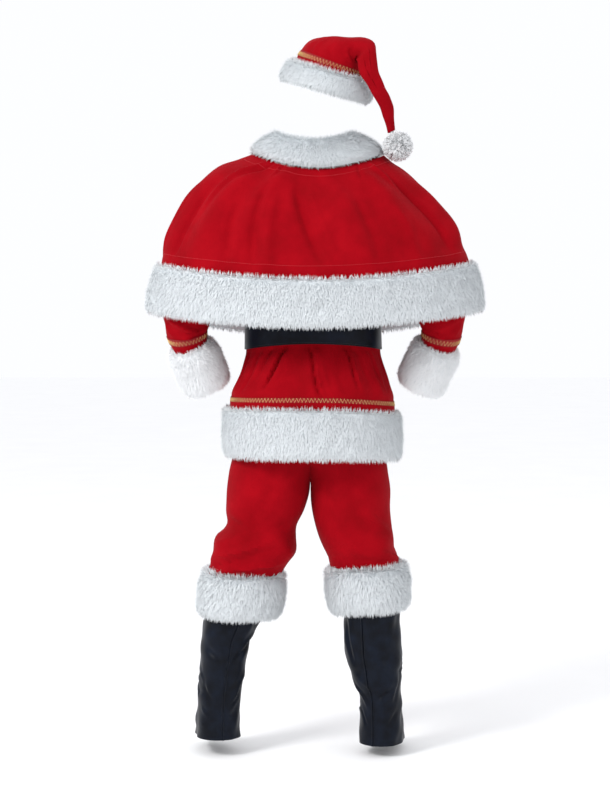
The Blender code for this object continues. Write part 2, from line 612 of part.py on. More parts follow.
def build_jacket(suit):
    form = BodyForm(JACKET_RINGS, JACKET_FOLDS)
    half = JACKET_COLUMNS // 2
    last = JACKET_HEM - SEAM_GAP / (JACKET_RINGS[JACKET_HEM].back_z - JACKET_RINGS[JACKET_HEM + 1].back_z)
    levels = [float(level) for level in range(JACKET_HEM)] + [last]
    panels = {
        "jacket_back": panel_angles(LEFT, LEFT + 180.0, JACKET_COLUMNS, JACKET_HALF_WIDTH),
        "jacket_front_left": panel_angles(FRONT, LEFT, half, JACKET_HALF_WIDTH),
        "jacket_front_right": panel_angles(0.0, FRONT, half, JACKET_HALF_WIDTH),
    }
    walls = [suit.wall(name, form, angles, levels, RED_VELOUR) for name, angles in panels.items()]
    column = 180.0 / JACKET_COLUMNS
    strip_angles = [FRONT - column, FRONT, FRONT + column]
    suit.wall("jacket_closing_strip", form, strip_angles, levels[STRIP_TOP_ROW:], RED_VELOUR,
              outer=-CLOTH - SEAM_GAP, thickness=STRIP_THICKNESS)

    around = round_angles(2 * JACKET_COLUMNS)
    filled = suit.cutter("jacket_filled", ring_cuts(form, around, levels[1:WAISTBAND_ROWS[1]], SEAM_GAP))
    for side, word in ((-1, "left"), (1, "right")):
        sleeve_form = SleeveForm(SLEEVE_ROWS, side, SLEEVE_FOLDS if side > 0 else mirrored(SLEEVE_FOLDS))
        rows = [float(level) for level in range(SLEEVE_END + 1)]
        sleeve_angles = round_angles(SLEEVE_COLUMNS)
        sleeve = suit.wall(f"sleeve_{word}", sleeve_form, sleeve_angles, rows, RED_VELOUR, closed=True)
        bore_rings = ring_cuts(sleeve_form, sleeve_angles, rows[:ARMHOLE_DEPTH], -CLOTH)
        bore = suit.cutter(f"armhole_{word}", bore_rings)
        suit.cut(sleeve, filled)
        for panel in walls:
            if panel.name != f"jacket_front_{'right' if side < 0 else 'left'}":
                suit.cut(panel, bore)
        first_step = sleeve_form.centre(SLEEVE_END + 1.0) - sleeve_form.centre(SLEEVE_END)
        cuff_top = SLEEVE_END + SEAM_GAP / first_step.length
        suit.plush(f"cuff_{word}", sleeve_form, sleeve_angles, cuff_top, len(SLEEVE_ROWS) - 1.0, CUFF_PLUSH,
                   closed=True)
        suit.wall(f"cuff_braid_{word}", sleeve_form, sleeve_angles, CUFF_BRAID_ROWS, GOLD_BRAID,
                  outer=SEAM_GAP + BRAID_THICKNESS, thickness=BRAID_THICKNESS, closed=True)

    opening = panel_angles(FRONT, FRONT + 360.0, 2 * JACKET_COLUMNS, JACKET_HALF_WIDTH)
    suit.plush("jacket_hem_band", form, opening, JACKET_HEM, JACKET_HEM + 1.0, JACKET_PLUSH)
    suit.wall("jacket_hem_braid", form, opening, HEM_BRAID_ROWS, GOLD_BRAID,
              outer=SEAM_GAP + BRAID_THICKNESS, thickness=BRAID_THICKNESS)
    suit.wall("belt", form, opening, BELT_ROWS, BLACK_LEATHER_CLOTH,
              outer=SEAM_GAP + BELT_THICKNESS, thickness=BELT_THICKNESS)
    suit.wall("trouser_waistband", form, around, WAISTBAND_ROWS, ELASTIC,
              outer=-CLOTH - SEAM_GAP - STRIP_THICKNESS - SEAM_GAP, thickness=BELT_THICKNESS, closed=True)
    build_buckle(suit, form)


def build_buckle(suit, form):
    """A plain square frame in front of the strap's meeting ends."""
    top = form.point(FRONT, BELT_ROWS[0])
    bottom = form.point(FRONT, BELT_ROWS[-1])
    half_height = (top.z - bottom.z) / 2.0 + BUCKLE_BAR * 0.5
    clear = SEAM_GAP + BELT_THICKNESS + SEAM_GAP
    lean = form.normal(FRONT, BELT_ROWS[1])
    up = Vector((1.0, 0.0, 0.0)).cross(lean).normalized()
    middle = (top + bottom) / 2.0 + (clear + BUCKLE_THICKNESS / 2.0) * lean
    shape = bmesh.new()
    corners = []
    for inset in (0.0, BUCKLE_BAR):
        for out in (-0.5, 0.5):
            ring = []
            for across, along in ((-1, -1), (1, -1), (1, 1), (-1, 1)):
                place = middle + across * (BUCKLE_HALF_WIDTH - inset) * Vector((1.0, 0.0, 0.0))
                place = place + along * (half_height - inset) * up + out * BUCKLE_THICKNESS * lean
                ring.append(shape.verts.new(place))
            corners.append(ring)
    for first, second in ((0, 1), (1, 3), (3, 2), (2, 0)):
        here = corners[first]
        there = corners[second]
        for k in range(4):
            after = (k + 1) % 4
            shape.faces.new((here[k], here[after], there[after], there[k]))
    bmesh.ops.recalc_face_normals(shape, faces=shape.faces)
    mesh = bpy.data.meshes.new("belt_buckle")
    shape.to_mesh(mesh)
    shape.free()
    suit.add("belt_buckle", mesh, BUCKLE_METAL)


def build_cape(suit):
    form = BodyForm(CAPE_RINGS, CAPE_FOLDS, power=CAPE_POWER)
    drop = CAPE_RINGS[CAPE_HEM].back_z - CAPE_RINGS[CAPE_HEM + 1].back_z
    levels = [float(level) for level in range(CAPE_HEM)] + [CAPE_HEM - SEAM_GAP / drop]
    half = CAPE_COLUMNS // 2
    panels = {
        "cape_back": panel_angles(LEFT, LEFT + 180.0, CAPE_COLUMNS, CAPE_HALF_WIDTH),
        "cape_front_left": panel_angles(FRONT, LEFT, half, CAPE_HALF_WIDTH),
        "cape_front_right": panel_angles(0.0, FRONT, half, CAPE_HALF_WIDTH),
    }
    for name, angles in panels.items():
        suit.wall(name, form, angles, levels, RED_VELOUR)
    column = 90.0 / half
    suit.wall("cape_neck_tab", form, [FRONT - column, FRONT, FRONT + column], CAPE_TAB_ROWS, RED_VELOUR,
              outer=-CLOTH - SEAM_GAP, thickness=STRIP_THICKNESS)
    opening = panel_angles(FRONT, FRONT + 360.0, 2 * CAPE_COLUMNS, CAPE_HALF_WIDTH)
    suit.plush("cape_hem_band", form, opening, CAPE_HEM, CAPE_HEM + 1.0, CAPE_PLUSH)
    collar = BodyForm(COLLAR_RINGS, power=CAPE_POWER)
    opening = panel_angles(FRONT, FRONT + 360.0, 2 * JACKET_COLUMNS, JACKET_HALF_WIDTH)
    loops = plush_loops(collar, opening, 0.0, len(COLLAR_RINGS) - 1.0, COLLAR_PLUSH)
    jacket = BodyForm(JACKET_RINGS)
    for loop, angle in zip(loops, opening):
        loop[0] = jacket.point(angle, 0.0) + SEAM_GAP * jacket.normal(angle, 0.0)
    suit.add("cape_collar", lofted_mesh("cape_collar", loops, False, len(PLUSH_PROFILE) + 1), WHITE_PLUSH)


def stand_on_band(loop, band, angle):
    """Moves the two hem points of a trouser cross-section onto the top edge of its plush band."""
    lower_outer = len(loop) // 2 - 1
    out = band.normal(angle, 0.0)
    seat = band.point(angle, 0.0) + Vector((0.0, 0.0, SEAM_GAP))
    loop[lower_outer] = seat + HEM_OUT * out
    loop[lower_outer + 1] = seat + (HEM_OUT - CLOTH) * out


def build_trousers(suit):
    bands = {"left": LEFT_LEG_BAND, "right": RIGHT_LEG_BAND}
    for side, word, rows in ((-1, "left", LEFT_LEG_ROWS), (1, "right", RIGHT_LEG_ROWS)):
        form = LegForm(rows, side, LEG_FOLDS)
        levels = [float(level) for level in range(len(rows))]
        band = BodyForm(bands[word], power=ROUND)
        first, second = ("front", "back") if side < 0 else ("back", "front")
        for half, start in ((first, 0.0), (second, 180.0)):
            angles = panel_angles(start, start + 180.0, TROUSER_COLUMNS, LEG_HALF_WIDTH)
            loops = wall_loops(form, angles, levels, 0.0, -CLOTH)
            for loop, angle in zip(loops, angles):
                stand_on_band(loop, band, angle if side < 0 else angle + 180.0)
            name = f"trouser_{half}_{word}"
            suit.add(name, lofted_mesh(name, loops, False, len(levels)), RED_VELOUR)
        suit.plush(f"leg_band_{word}", band, round_angles(LEG_BAND_COLUMNS), 0.0, 1.0, LEG_PLUSH, closed=True)


def build_boot_covers(suit):
    sides = ((-1, "left", LEFT_BOOT_ROWS, LEFT_BOOT_SEAM), (1, "right", RIGHT_BOOT_ROWS, RIGHT_BOOT_SEAM))
    for side, word, rows, seam in sides:
        form = BootForm(rows, side, BOOT_FOLDS)
        levels = [float(level) for level in range(len(rows))]
        step = 360.0 / BOOT_COLUMNS
        angles = [seam + k * step for k in range(BOOT_COLUMNS)]
        suit.wall(f"boot_cover_{word}", form, angles, levels, BLACK_LEATHER_CLOTH, thickness=LEATHER_CLOTH,
                  closed=True)
        curve = bpy.data.curves.new(f"boot_piping_{word}", "CURVE")
        curve.dimensions = "3D"
        curve.bevel_depth = PIPING_RADIUS
        curve.bevel_resolution = 1
        curve.use_fill_caps = True
        spline = curve.splines.new("POLY")
        clear = PIPING_RADIUS + SEAM_GAP
        places = [form.point(seam, level) + clear * form.normal(seam, level) for level in levels[1:]]
        spline.points.add(len(places) - 1)
        for point, place in zip(spline.points, places):
            point.co = (*place, 1.0)
        new_object(f"boot_piping_{word}", curve, BLACK_LEATHER_CLOTH, suit.pieces, suit.floor)


def pompom_centre():
    """Just past the tail's open end, on its axis, so that the end's inner edge lies on the pompom."""
    tip = HAT_ROWS[0]
    tilt = math.radians(tip.tilt)
    reach = math.sqrt((POMPOM_RADIUS + SEAM_GAP) ** 2 - (tip.half_depth - CLOTH) ** 2)
    return Vector((tip.x, tip.y, tip.z)) + reach * Vector((math.sin(tilt), 0.0, math.cos(tilt)))


def build_hat(suit):
    form = HatForm(HAT_ROWS)
    around = round_angles(HAT_COLUMNS)
    brim_drop = HAT_ROWS[HAT_BRIM].z - HAT_ROWS[HAT_BRIM + 1].z
    levels = [float(level) for level in range(HAT_BRIM)] + [HAT_BRIM - SEAM_GAP / brim_drop]
    suit.wall("hat_crown", form, around, levels, RED_VELOUR, closed=True)
    suit.wall("hat_braid", form, around, HAT_BRAID_ROWS, GOLD_BRAID,
              outer=SEAM_GAP + BRAID_THICKNESS, thickness=BRAID_THICKNESS, closed=True)
    suit.plush("hat_band", form, around, HAT_BRIM, HAT_BRIM + 1.0, HAT_PLUSH, closed=True)
    shape = bmesh.new()
    bmesh.ops.create_icosphere(shape, subdivisions=3, radius=POMPOM_RADIUS)
    bmesh.ops.translate(shape, verts=shape.verts, vec=pompom_centre())
    mesh = bpy.data.meshes.new("hat_pompom")
    shape.to_mesh(mesh)
    shape.free()
    mesh.shade_smooth()
    suit.add("hat_pompom", mesh, WHITE_PLUSH)


def main():
    for obj in list(bpy.data.objects):
        bpy.data.objects.remove(obj, do_unlink=True)
    suit = Suit()
    build_jacket(suit)
    build_cape(suit)
    build_trousers(suit)
    build_boot_covers(suit)
    build_hat(suit)


main()
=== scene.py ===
"""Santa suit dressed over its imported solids: red velour, white plush, gold braid and black leather cloth.

Lengths are metres and +Z is up. The back of the suit faces -Y, which is the side that the camera sees. Heights
in the tables are measured from the floor; the origin of the suit lies between the wearer's shoulders.
"""

from __future__ import annotations

import logging
import math
from collections import namedtuple
from dataclasses import dataclass
from enum import Enum
from typing import Any, Mapping, Sequence

import bmesh
import bpy
import numpy as np
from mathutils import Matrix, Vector


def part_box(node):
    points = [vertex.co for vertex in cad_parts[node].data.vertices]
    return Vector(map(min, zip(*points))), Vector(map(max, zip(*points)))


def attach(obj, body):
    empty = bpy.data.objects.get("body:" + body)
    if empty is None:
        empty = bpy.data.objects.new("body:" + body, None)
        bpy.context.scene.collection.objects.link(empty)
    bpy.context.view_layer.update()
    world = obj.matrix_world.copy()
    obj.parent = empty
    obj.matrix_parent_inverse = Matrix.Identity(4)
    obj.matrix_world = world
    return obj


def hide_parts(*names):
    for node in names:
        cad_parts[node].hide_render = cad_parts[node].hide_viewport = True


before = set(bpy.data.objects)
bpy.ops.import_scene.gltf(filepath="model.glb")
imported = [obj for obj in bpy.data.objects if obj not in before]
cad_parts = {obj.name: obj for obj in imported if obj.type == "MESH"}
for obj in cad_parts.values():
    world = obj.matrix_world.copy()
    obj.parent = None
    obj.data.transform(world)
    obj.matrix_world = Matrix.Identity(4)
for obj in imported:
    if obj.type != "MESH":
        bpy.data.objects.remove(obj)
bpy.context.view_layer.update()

LOG = logging.getLogger("santa_suit")

SHOULDER_HEIGHT = 1.45
CLOTH = 0.002
THIN_CLOTH = 0.0012
SEAM_GAP = 0.0003
PANEL_GAP = 0.0001
STITCH_PITCH = 0.0046
CRUMPLE_WAVES = 9
MILLIMETRES = 1000.0

FRONT = 90.0
LEFT = 180.0
BACK = 270.0
PANEL_SPANS = {"back": (LEFT, LEFT + 180.0), "front_left": (FRONT, LEFT), "front_right": (0.0, FRONT)}

Tree = bpy.types.NodeTree
Material = bpy.types.Material
Node = bpy.types.Node
Socket = bpy.types.NodeSocket
Object = bpy.types.Object


class Slot(Enum):
    """Material slots of the record."""

    VELOUR = "red_velour"
    PLUSH = "white_plush"
    BRAID = "gold_braid"
    LEATHER_CLOTH = "black_leathercloth"
    ELASTIC = "red_elastic"
    METAL = "buckle_metal"


class Held(Enum):
    """How a cloth piece is held."""

    DRAPED = "draped"
    HUNG = "hung"
    STRETCHED = "stretched"


def linear(hex_colour: str) -> tuple[float, float, float, float]:
    """Turns an sRGB hex colour into a linear one.

    Args:
        hex_colour: Colour such as "#B4000F".

    Returns:
        Linear red, green, blue and an alpha of 1.
    """
    channels = [int(hex_colour[k : k + 2], 16) / 255.0 for k in (1, 3, 5)]
    lit = [c / 12.92 if c <= 0.04045 else ((c + 0.055) / 1.055) ** 2.4 for c in channels]
    return lit[0], lit[1], lit[2], 1.0


def add_node(
    tree: Tree, kind: str, settings: Mapping[Any, Any] | None = None, links: Mapping[Any, Socket] | None = None
) -> Node:
    """Adds a node with its settings and links.

    Args:
        tree: Tree that gets the node.
        kind: Blender's node type.
        settings: Values by attribute name, or values and output sockets by input name or number.
        links: Output sockets by the input name or number that they feed.

    Returns:
        The new node.
    """
    node = tree.nodes.new(kind)
    for name, value in (settings or {}).items():
        if isinstance(value, Socket):
            tree.links.new(value, node.inputs[name])
        elif isinstance(name, str) and hasattr(node, name):
            setattr(node, name, value)
        else:
            node.inputs[name].default_value = value
    for name, source in (links or {}).items():
        tree.links.new(source, node.inputs[name])
    return node


def new_material(name: str) -> tuple[Material, Tree, Node, Socket]:
    """Starts a material on object coordinates.

    Args:
        name: Name of the material.

    Returns:
        The material, its tree, its shader and the object coordinates.
    """
    material = bpy.data.materials.new(name)
    material.use_nodes = True
    tree = material.node_tree
    tree.nodes.clear()
    shader = add_node(tree, "ShaderNodeBsdfPrincipled")
    add_node(tree, "ShaderNodeOutputMaterial", links={"Surface": shader.outputs["BSDF"]})
    place = add_node(tree, "ShaderNodeTexCoord").outputs["Object"]
    return material, tree, shader, place


def ramp(node: Node, stops: Sequence[tuple[float, str]]) -> None:
    """Sets the stops of a colour ramp.

    Args:
        node: Colour ramp node.
        stops: Positions and sRGB hex colours, in order.
    """
    elements = node.color_ramp.elements
    while len(elements) < len(stops):
        elements.new(0.5)
    for element, (position, colour) in zip(elements, stops):
        element.position = position
        element.color = linear(colour)


def noise(tree: Tree, place: Socket, size_mm: float, detail: float, **settings: float) -> Socket:
    """Noise in a material, with a pattern about size_mm large."""
    values = {"Scale": MILLIMETRES / size_mm, "Detail": detail, **settings}
    return add_node(tree, "ShaderNodeTexNoise", values, {"Vector": place}).outputs["Fac"]


def colour_by(shader: Node, share: Socket, stops: Sequence[tuple[float, str]]) -> None:
    """Colours a shader by a ramp.

    Args:
        shader: Shader that gets the colour.
        share: Socket whose value picks it.
        stops: Positions and sRGB hex colours, in order.
    """
    tones = add_node(shader.id_data, "ShaderNodeValToRGB", links={"Fac": share})
    ramp(tones, stops)
    shader.id_data.links.new(tones.outputs["Color"], shader.inputs["Base Color"])


def gloss_by(shader: Node, share: Socket, low: float, high: float) -> None:
    """Lets a socket's value move a shader's roughness between low and high."""
    gloss = add_node(shader.id_data, "ShaderNodeMapRange", {"To Min": low, "To Max": high}, {"Value": share})
    shader.id_data.links.new(gloss.outputs["Result"], shader.inputs["Roughness"])


def raise_by(shader: Node, height: Socket, strength: float, distance: float) -> None:
    """Gives a shader small relief from a socket's value; distance is its height in metres."""
    bump = add_node(
        shader.id_data, "ShaderNodeBump", {"Strength": strength, "Distance": distance}, {"Height": height}
    )
    shader.id_data.links.new(bump.outputs["Normal"], shader.inputs["Normal"])


def set_inputs(shader: Node, values: Mapping[str, Any]) -> None:
    """Sets constant values on a shader's own sockets."""
    for name, value in values.items():
        shader.inputs[name].default_value = value


def vector_sum(tree: Tree, *vectors: Socket) -> Socket:
    """The sum of vectors in a tree.

    Args:
        tree: Tree that gets the nodes.
        *vectors: Sockets of the vectors, in order.

    Returns:
        Socket of the sum.
    """
    total = vectors[0]
    for vector in vectors[1:]:
        total = add_node(tree, "ShaderNodeVectorMath", {"operation": "ADD"}, {0: total, 1: vector}).outputs["Vector"]
    return total


def vector_scaled(tree: Tree, vector: Socket, scale: Socket | float) -> Socket:
    """A vector times a number in a tree."""
    scaled = add_node(tree, "ShaderNodeVectorMath", {"operation": "SCALE", 0: vector, "Scale": scale})
    return scaled.outputs["Vector"]


def maths(tree: Tree, operation: str, *terms: Socket | float, clamp: bool = False) -> Socket:
    """The result of Blender's named operation on sockets and numbers."""
    settings = {"operation": operation, "use_clamp": clamp, **dict(enumerate(terms))}
    return add_node(tree, "ShaderNodeMath", settings).outputs["Value"]


@dataclass(frozen=True)
class Velour:
    """Polyester velour: a knitted ground with a sheared pile.

    The pile drinks light, so the red stays deep; brushed patches lie lighter or darker, and edges that turn
    away pick up a faint rosy sheen.
    """

    name: str = "red_velour"
    shade: str = "#80000A"
    body: str = "#8B000D"
    light: str = "#960210"
    sheen_tint: str = "#FF5560"
    patch_mm: float = 75.0
    pile_mm: float = 2.4
    roughness: float = 0.85

    def material(self) -> Material:
        """Builds the material; the 0.3 mm pile is drawn 2.4 mm coarse so that it shows."""
        material, tree, shader, place = new_material(self.name)
        patches = noise(tree, place, self.patch_mm, 4.0, Roughness=0.55)
        colour_by(shader, patches, ((0.30, self.shade), (0.50, self.body), (0.72, self.light)))
        raise_by(shader, noise(tree, place, self.pile_mm, 2.0), 0.25, 0.0006)
        set_inputs(shader, {"Roughness": self.roughness, "Specular IOR Level": 0.06, "Sheen Weight": 0.10})
        set_inputs(shader, {"Sheen Roughness": 0.5, "Sheen Tint": linear(self.sheen_tint)})
        return material


@dataclass(frozen=True)
class Plush:
    """Long-pile polyester plush: cool white locks over a ground that is painted greyer, as the shade down in the
    pile.

    Each lock is a little lighter or darker than the next at random, and painted greyer at its root as the shade among
    the hairs; that painted shade gives the soft depth.
    The fine hairs pass light on among themselves, so they shade like the cushion that they lie on.
    """

    name: str = "white_plush"
    # root is painted shade: the locks' roots and the bare ground take it, as the shade down in the pile; tip is the
    # colour of the locks' ends.
    root: str = "#D2D7DA"
    tip: str = "#E3E7E9"
    roughness: float = 0.9
    own_share: float = 0.45

    def material(self) -> Material:
        """Builds the material from the locks' own tone and length attributes."""
        material, tree, shader, _ = new_material(self.name)
        # along runs from 0 at a lock's root to 1 at its tip and is 0 on the ground, so the ramp paints shade at the
        # roots and on the ground; tone varies at random.
        along = add_node(tree, "ShaderNodeAttribute", {"attribute_name": "along"}).outputs["Fac"]
        tone = add_node(tree, "ShaderNodeAttribute", {"attribute_name": "tone"}).outputs["Fac"]
        colour_by(shader, maths(tree, "MULTIPLY_ADD", along, 0.75, tone), ((0.0, self.root), (0.85, self.tip)))
        lay = add_node(tree, "ShaderNodeAttribute", {"attribute_name": "lay"}).outputs["Vector"]
        seen = add_node(tree, "ShaderNodeNewGeometry").outputs["Normal"]
        same_side = add_node(tree, "ShaderNodeVectorMath", {"operation": "DOT_PRODUCT"}, {0: lay, 1: seen})
        trust = maths(tree, "MULTIPLY_ADD", same_side.outputs["Value"], 2.0, 0.8, clamp=True)
        cushion = vector_scaled(tree, lay, trust)
        both = vector_sum(tree, cushion, vector_scaled(tree, seen, self.own_share))
        facing = add_node(tree, "ShaderNodeVectorMath", {"operation": "NORMALIZE"}, {0: both})
        tree.links.new(facing.outputs["Vector"], shader.inputs["Normal"])
        set_inputs(shader, {"Roughness": self.roughness, "Specular IOR Level": 0.1, "Sheen Weight": 0.1})
        return material


@dataclass(frozen=True)
class Yarn:
    """Twisted sewing or metallised yarn: a satin thread whose gloss breaks up with its twist."""

    name: str
    colour: str
    dark: str
    metallic: float
    roughness: float
    twist_mm: float = 1.5

    def material(self) -> Material:
        """Builds the material; the twist is drawn at 1.5 mm so that it shows."""
        material, tree, shader, place = new_material(self.name)
        colour_by(shader, noise(tree, place, self.twist_mm, 1.0), ((0.3, self.dark), (0.6, self.colour)))
        set_inputs(shader, {"Metallic": self.metallic, "Roughness": self.roughness})
        return material


@dataclass(frozen=True)
class LeatherCloth:
    """Polyurethane-coated cloth: a thin satin film with a pressed grain over a knitted back.

    Its highlights are broad and bluish, and creases crowd the gloss into soft streaks.
    """

    name: str = "black_leathercloth"
    colour: str = "#070A12"
    worn: str = "#101724"
    grain_mm: float = 3.0
    patch_mm: float = 35.0
    roughness: float = 0.36

    def material(self) -> Material:
        """Builds the material; the 1 mm grain is drawn 3 mm coarse so that it shows."""
        material, tree, shader, place = new_material(self.name)
        patches = noise(tree, place, self.patch_mm, 4.0)
        colour_by(shader, patches, ((0.35, self.colour), (0.75, self.worn)))
        gloss_by(shader, patches, self.roughness - 0.06, self.roughness + 0.12)
        grain = add_node(tree, "ShaderNodeTexVoronoi", {"Scale": MILLIMETRES / self.grain_mm}, {"Vector": place})
        raise_by(shader, grain.outputs["Distance"], 0.18, 0.0004)
        set_inputs(shader, {"Specular IOR Level": 0.11})
        return material


@dataclass(frozen=True)
class Elastic:
    """Knitted elastic: ribs run up and down, so it looks finely corded."""

    name: str = "red_elastic"
    colour: str = "#9C0010"
    rib_mm: float = 3.0

    def material(self) -> Material:
        """Builds the material with ribs 3 mm apart."""
        material, tree, shader, place = new_material(self.name)
        ribs = add_node(
            tree,
            "ShaderNodeTexWave",
            {"Scale": MILLIMETRES / self.rib_mm / math.tau, "bands_direction": "X", "Distortion": 0.4},
            {"Vector": place},
        )
        raise_by(shader, ribs.outputs["Fac"], 0.4, 0.0006)
        set_inputs(shader, {"Base Color": linear(self.colour), "Roughness": 0.9})
        return material


@dataclass(frozen=True)
class Brass:
    """Brass-plated zinc casting, tumbled smooth: warm, with soft scratches that blur its highlights."""

    name: str = "plated_brass"
    colour: str = "#C9A45C"
    scratch_mm: float = 6.0

    def material(self) -> Material:
        """Builds the material with wear in its roughness."""
        material, tree, shader, place = new_material(self.name)
        gloss_by(shader, noise(tree, place, self.scratch_mm, 6.0), 0.22, 0.42)
        set_inputs(shader, {"Base Color": linear(self.colour), "Metallic": 1.0})
        return material


@dataclass(frozen=True)
class Fold:
    """A long rounded fold, outwards or, with a negative depth, inwards.

    angle and drift are degrees round the form, and width is the half width of the fold in degrees. top and
    bottom are levels down the rows; it comes up and dies away over a third of the way between them.
    """

    angle: float
    width: float
    depth: float
    top: float
    bottom: float
    drift: float = 0.0

    def height(self, angle: np.ndarray, level: np.ndarray) -> np.ndarray:
        """How far the fold stands out at these angles and levels.

        Args:
            angle: Angles of the points.
            level: Levels of the points.

        Returns:
            The height at each point.
        """
        way = (level - self.top) / (self.bottom - self.top)
        strength = smooth(way * 3.0) * smooth((1.0 - way) * 3.0)
        off = (angle - self.angle - self.drift * way + 180.0) % 360.0 - 180.0
        return self.depth * strength * np.exp(-((off / self.width) ** 2))

    def mirrored(self) -> Fold:
        """The same fold on the other side of the body."""
        return Fold(180.0 - self.angle, self.width, self.depth, self.top, self.bottom, -self.drift)


@dataclass(frozen=True)
class Crease:
    """A straight wrinkle from one angle and level to another, width and depth in metres.

    It is a groove where the depth is negative. lap, from 0 to 1, turns it into a step: a ridge on one side and
    a groove on the other, as where cloth laps over itself.
    """

    angle: float
    level: float
    end_angle: float
    end_level: float
    width: float
    depth: float
    lap: float = 0.5

    def mirrored(self) -> Crease:
        """The same wrinkle on the other side of the body."""
        return Crease(
            180.0 - self.angle, self.level, 180.0 - self.end_angle, self.end_level, self.width, self.depth, -self.lap
        )

    def height(self, angle: np.ndarray, level: np.ndarray, scale: tuple[float, float]) -> np.ndarray:
        """How far the wrinkle stands out.

        Args:
            angle: Angles of the points.
            level: Levels of the points.
            scale: Metres to a degree and metres to a level.

        Returns:
            The height at each point.
        """
        around, down = scale
        line = np.array(((self.end_angle - self.angle) * around, (self.end_level - self.level) * down))
        length = float(np.linalg.norm(line))
        way = line / length
        u = ((angle - self.angle + 180.0) % 360.0 - 180.0) * around
        v = (level - self.level) * down
        along = (u * way[0] + v * way[1]) / length
        aside = (v * way[0] - u * way[1]) / self.width
        strength = smooth(along / 0.3) * smooth((1.0 - along) / 0.4)
        bell = np.exp(-(aside**2))
        return self.depth * strength * bell * ((1.0 - self.lap) + 2.0 * self.lap * aside)


def scattered(
    seed: int, count: int, angles: tuple[float, float], levels: tuple[float, float],
    slope: float, width: float, depth: float, reach: float,
) -> tuple[Crease, ...]:
    """Small wrinkles at seeded places.

    Args:
        seed: Seed of the places.
        count: How many.
        angles: Range of their starts round the form.
        levels: Range of their starts down the form.
        slope: Levels that they drop over their length, as a share of 1, up or down by chance.
        width: Typical width in metres.
        depth: Typical depth in metres.
        reach: Typical length in degrees.

    Returns:
        The wrinkles.
    """
    chance = np.random.default_rng(seed)
    found = []
    for _ in range(count):
        angle = chance.uniform(*angles)
        level = chance.uniform(*levels)
        length = reach * chance.uniform(0.6, 1.4) * chance.choice((-1.0, 1.0))
        drop = slope * chance.uniform(0.2, 1.0)
        own_width = width * chance.uniform(0.7, 1.3)
        own_depth = depth * chance.uniform(0.6, 1.3) * chance.choice((-1.0, 1.0))
        lap = chance.uniform(0.3, 0.9)
        found.append(Crease(angle, level, angle + length, level + drop, own_width, own_depth, lap))
    return tuple(found)


Ring = namedtuple("Ring", "left right back front left_z right_z back_z front_z x y")
SweepRow = namedtuple("SweepRow", "x y z half_x half_y")
HIP_COLUMNS = "height back_rise front_rise centre share hip_x hip_back hip_front"
LegRow = namedtuple("LegRow", HIP_COLUMNS + " leg_x leg_half leg_back leg_front")
BootRow = namedtuple("BootRow", "height x y half_x back front front_drop")
HatRow = namedtuple("HatRow", "x y z tilt pitch half_height half_depth")


def table(kind: type, *rows: Any) -> tuple:
    """Rows of one kind, from plain tuples and from rows that are made already."""
    return tuple(row if isinstance(row, kind) else kind(*row) for row in rows)


def smooth(value: np.ndarray) -> np.ndarray:
    """Smooth step from 0 to 1."""
    value = np.clip(value, 0.0, 1.0)
    return value * value * (3.0 - 2.0 * value)


def unit(vectors: np.ndarray) -> np.ndarray:
    """The vectors at length 1."""
    return vectors / np.maximum(np.linalg.norm(vectors, axis=-1, keepdims=True), 1e-12)


def blended(rows: Sequence[tuple], level: np.ndarray) -> Any:
    """Rows of a table at whole or broken levels, on a smooth curve through the rows.

    Args:
        rows: Table of named tuples.
        level: Levels down the table.

    Returns:
        One named tuple whose values are arrays of the levels' shape.
    """
    table = np.array(rows, float)
    level = np.clip(np.asarray(level, float), 0.0, len(table) - 1.0)
    start = np.minimum(level.astype(int), len(table) - 2)
    t = (level - start)[..., None]
    before = table[np.maximum(start - 1, 0)]
    here = table[start]
    there = table[start + 1]
    after = table[np.minimum(start + 2, len(table) - 1)]
    here_share = 2.0 * t**3 - 3.0 * t**2 + 1.0
    mix = here_share * here + (1.0 - here_share) * there
    mix = mix + (t**3 - 2.0 * t**2 + t) * (there - before) / 2.0 + (t**3 - t**2) * (after - here) / 2.0
    return type(rows[0])(*np.moveaxis(mix, -1, 0))


def oval(angle: np.ndarray, power: float) -> tuple[np.ndarray, np.ndarray]:
    """Unit oval, squarer than an ellipse where power is over 2.

    Args:
        angle: Angles in degrees.
        power: 2 for an ellipse.

    Returns:
        Its two coordinates at each angle.
    """
    across = np.cos(np.radians(angle))
    along = np.sin(np.radians(angle))
    size = (np.abs(across) ** power + np.abs(along) ** power) ** (-1.0 / power)
    return across * size, along * size


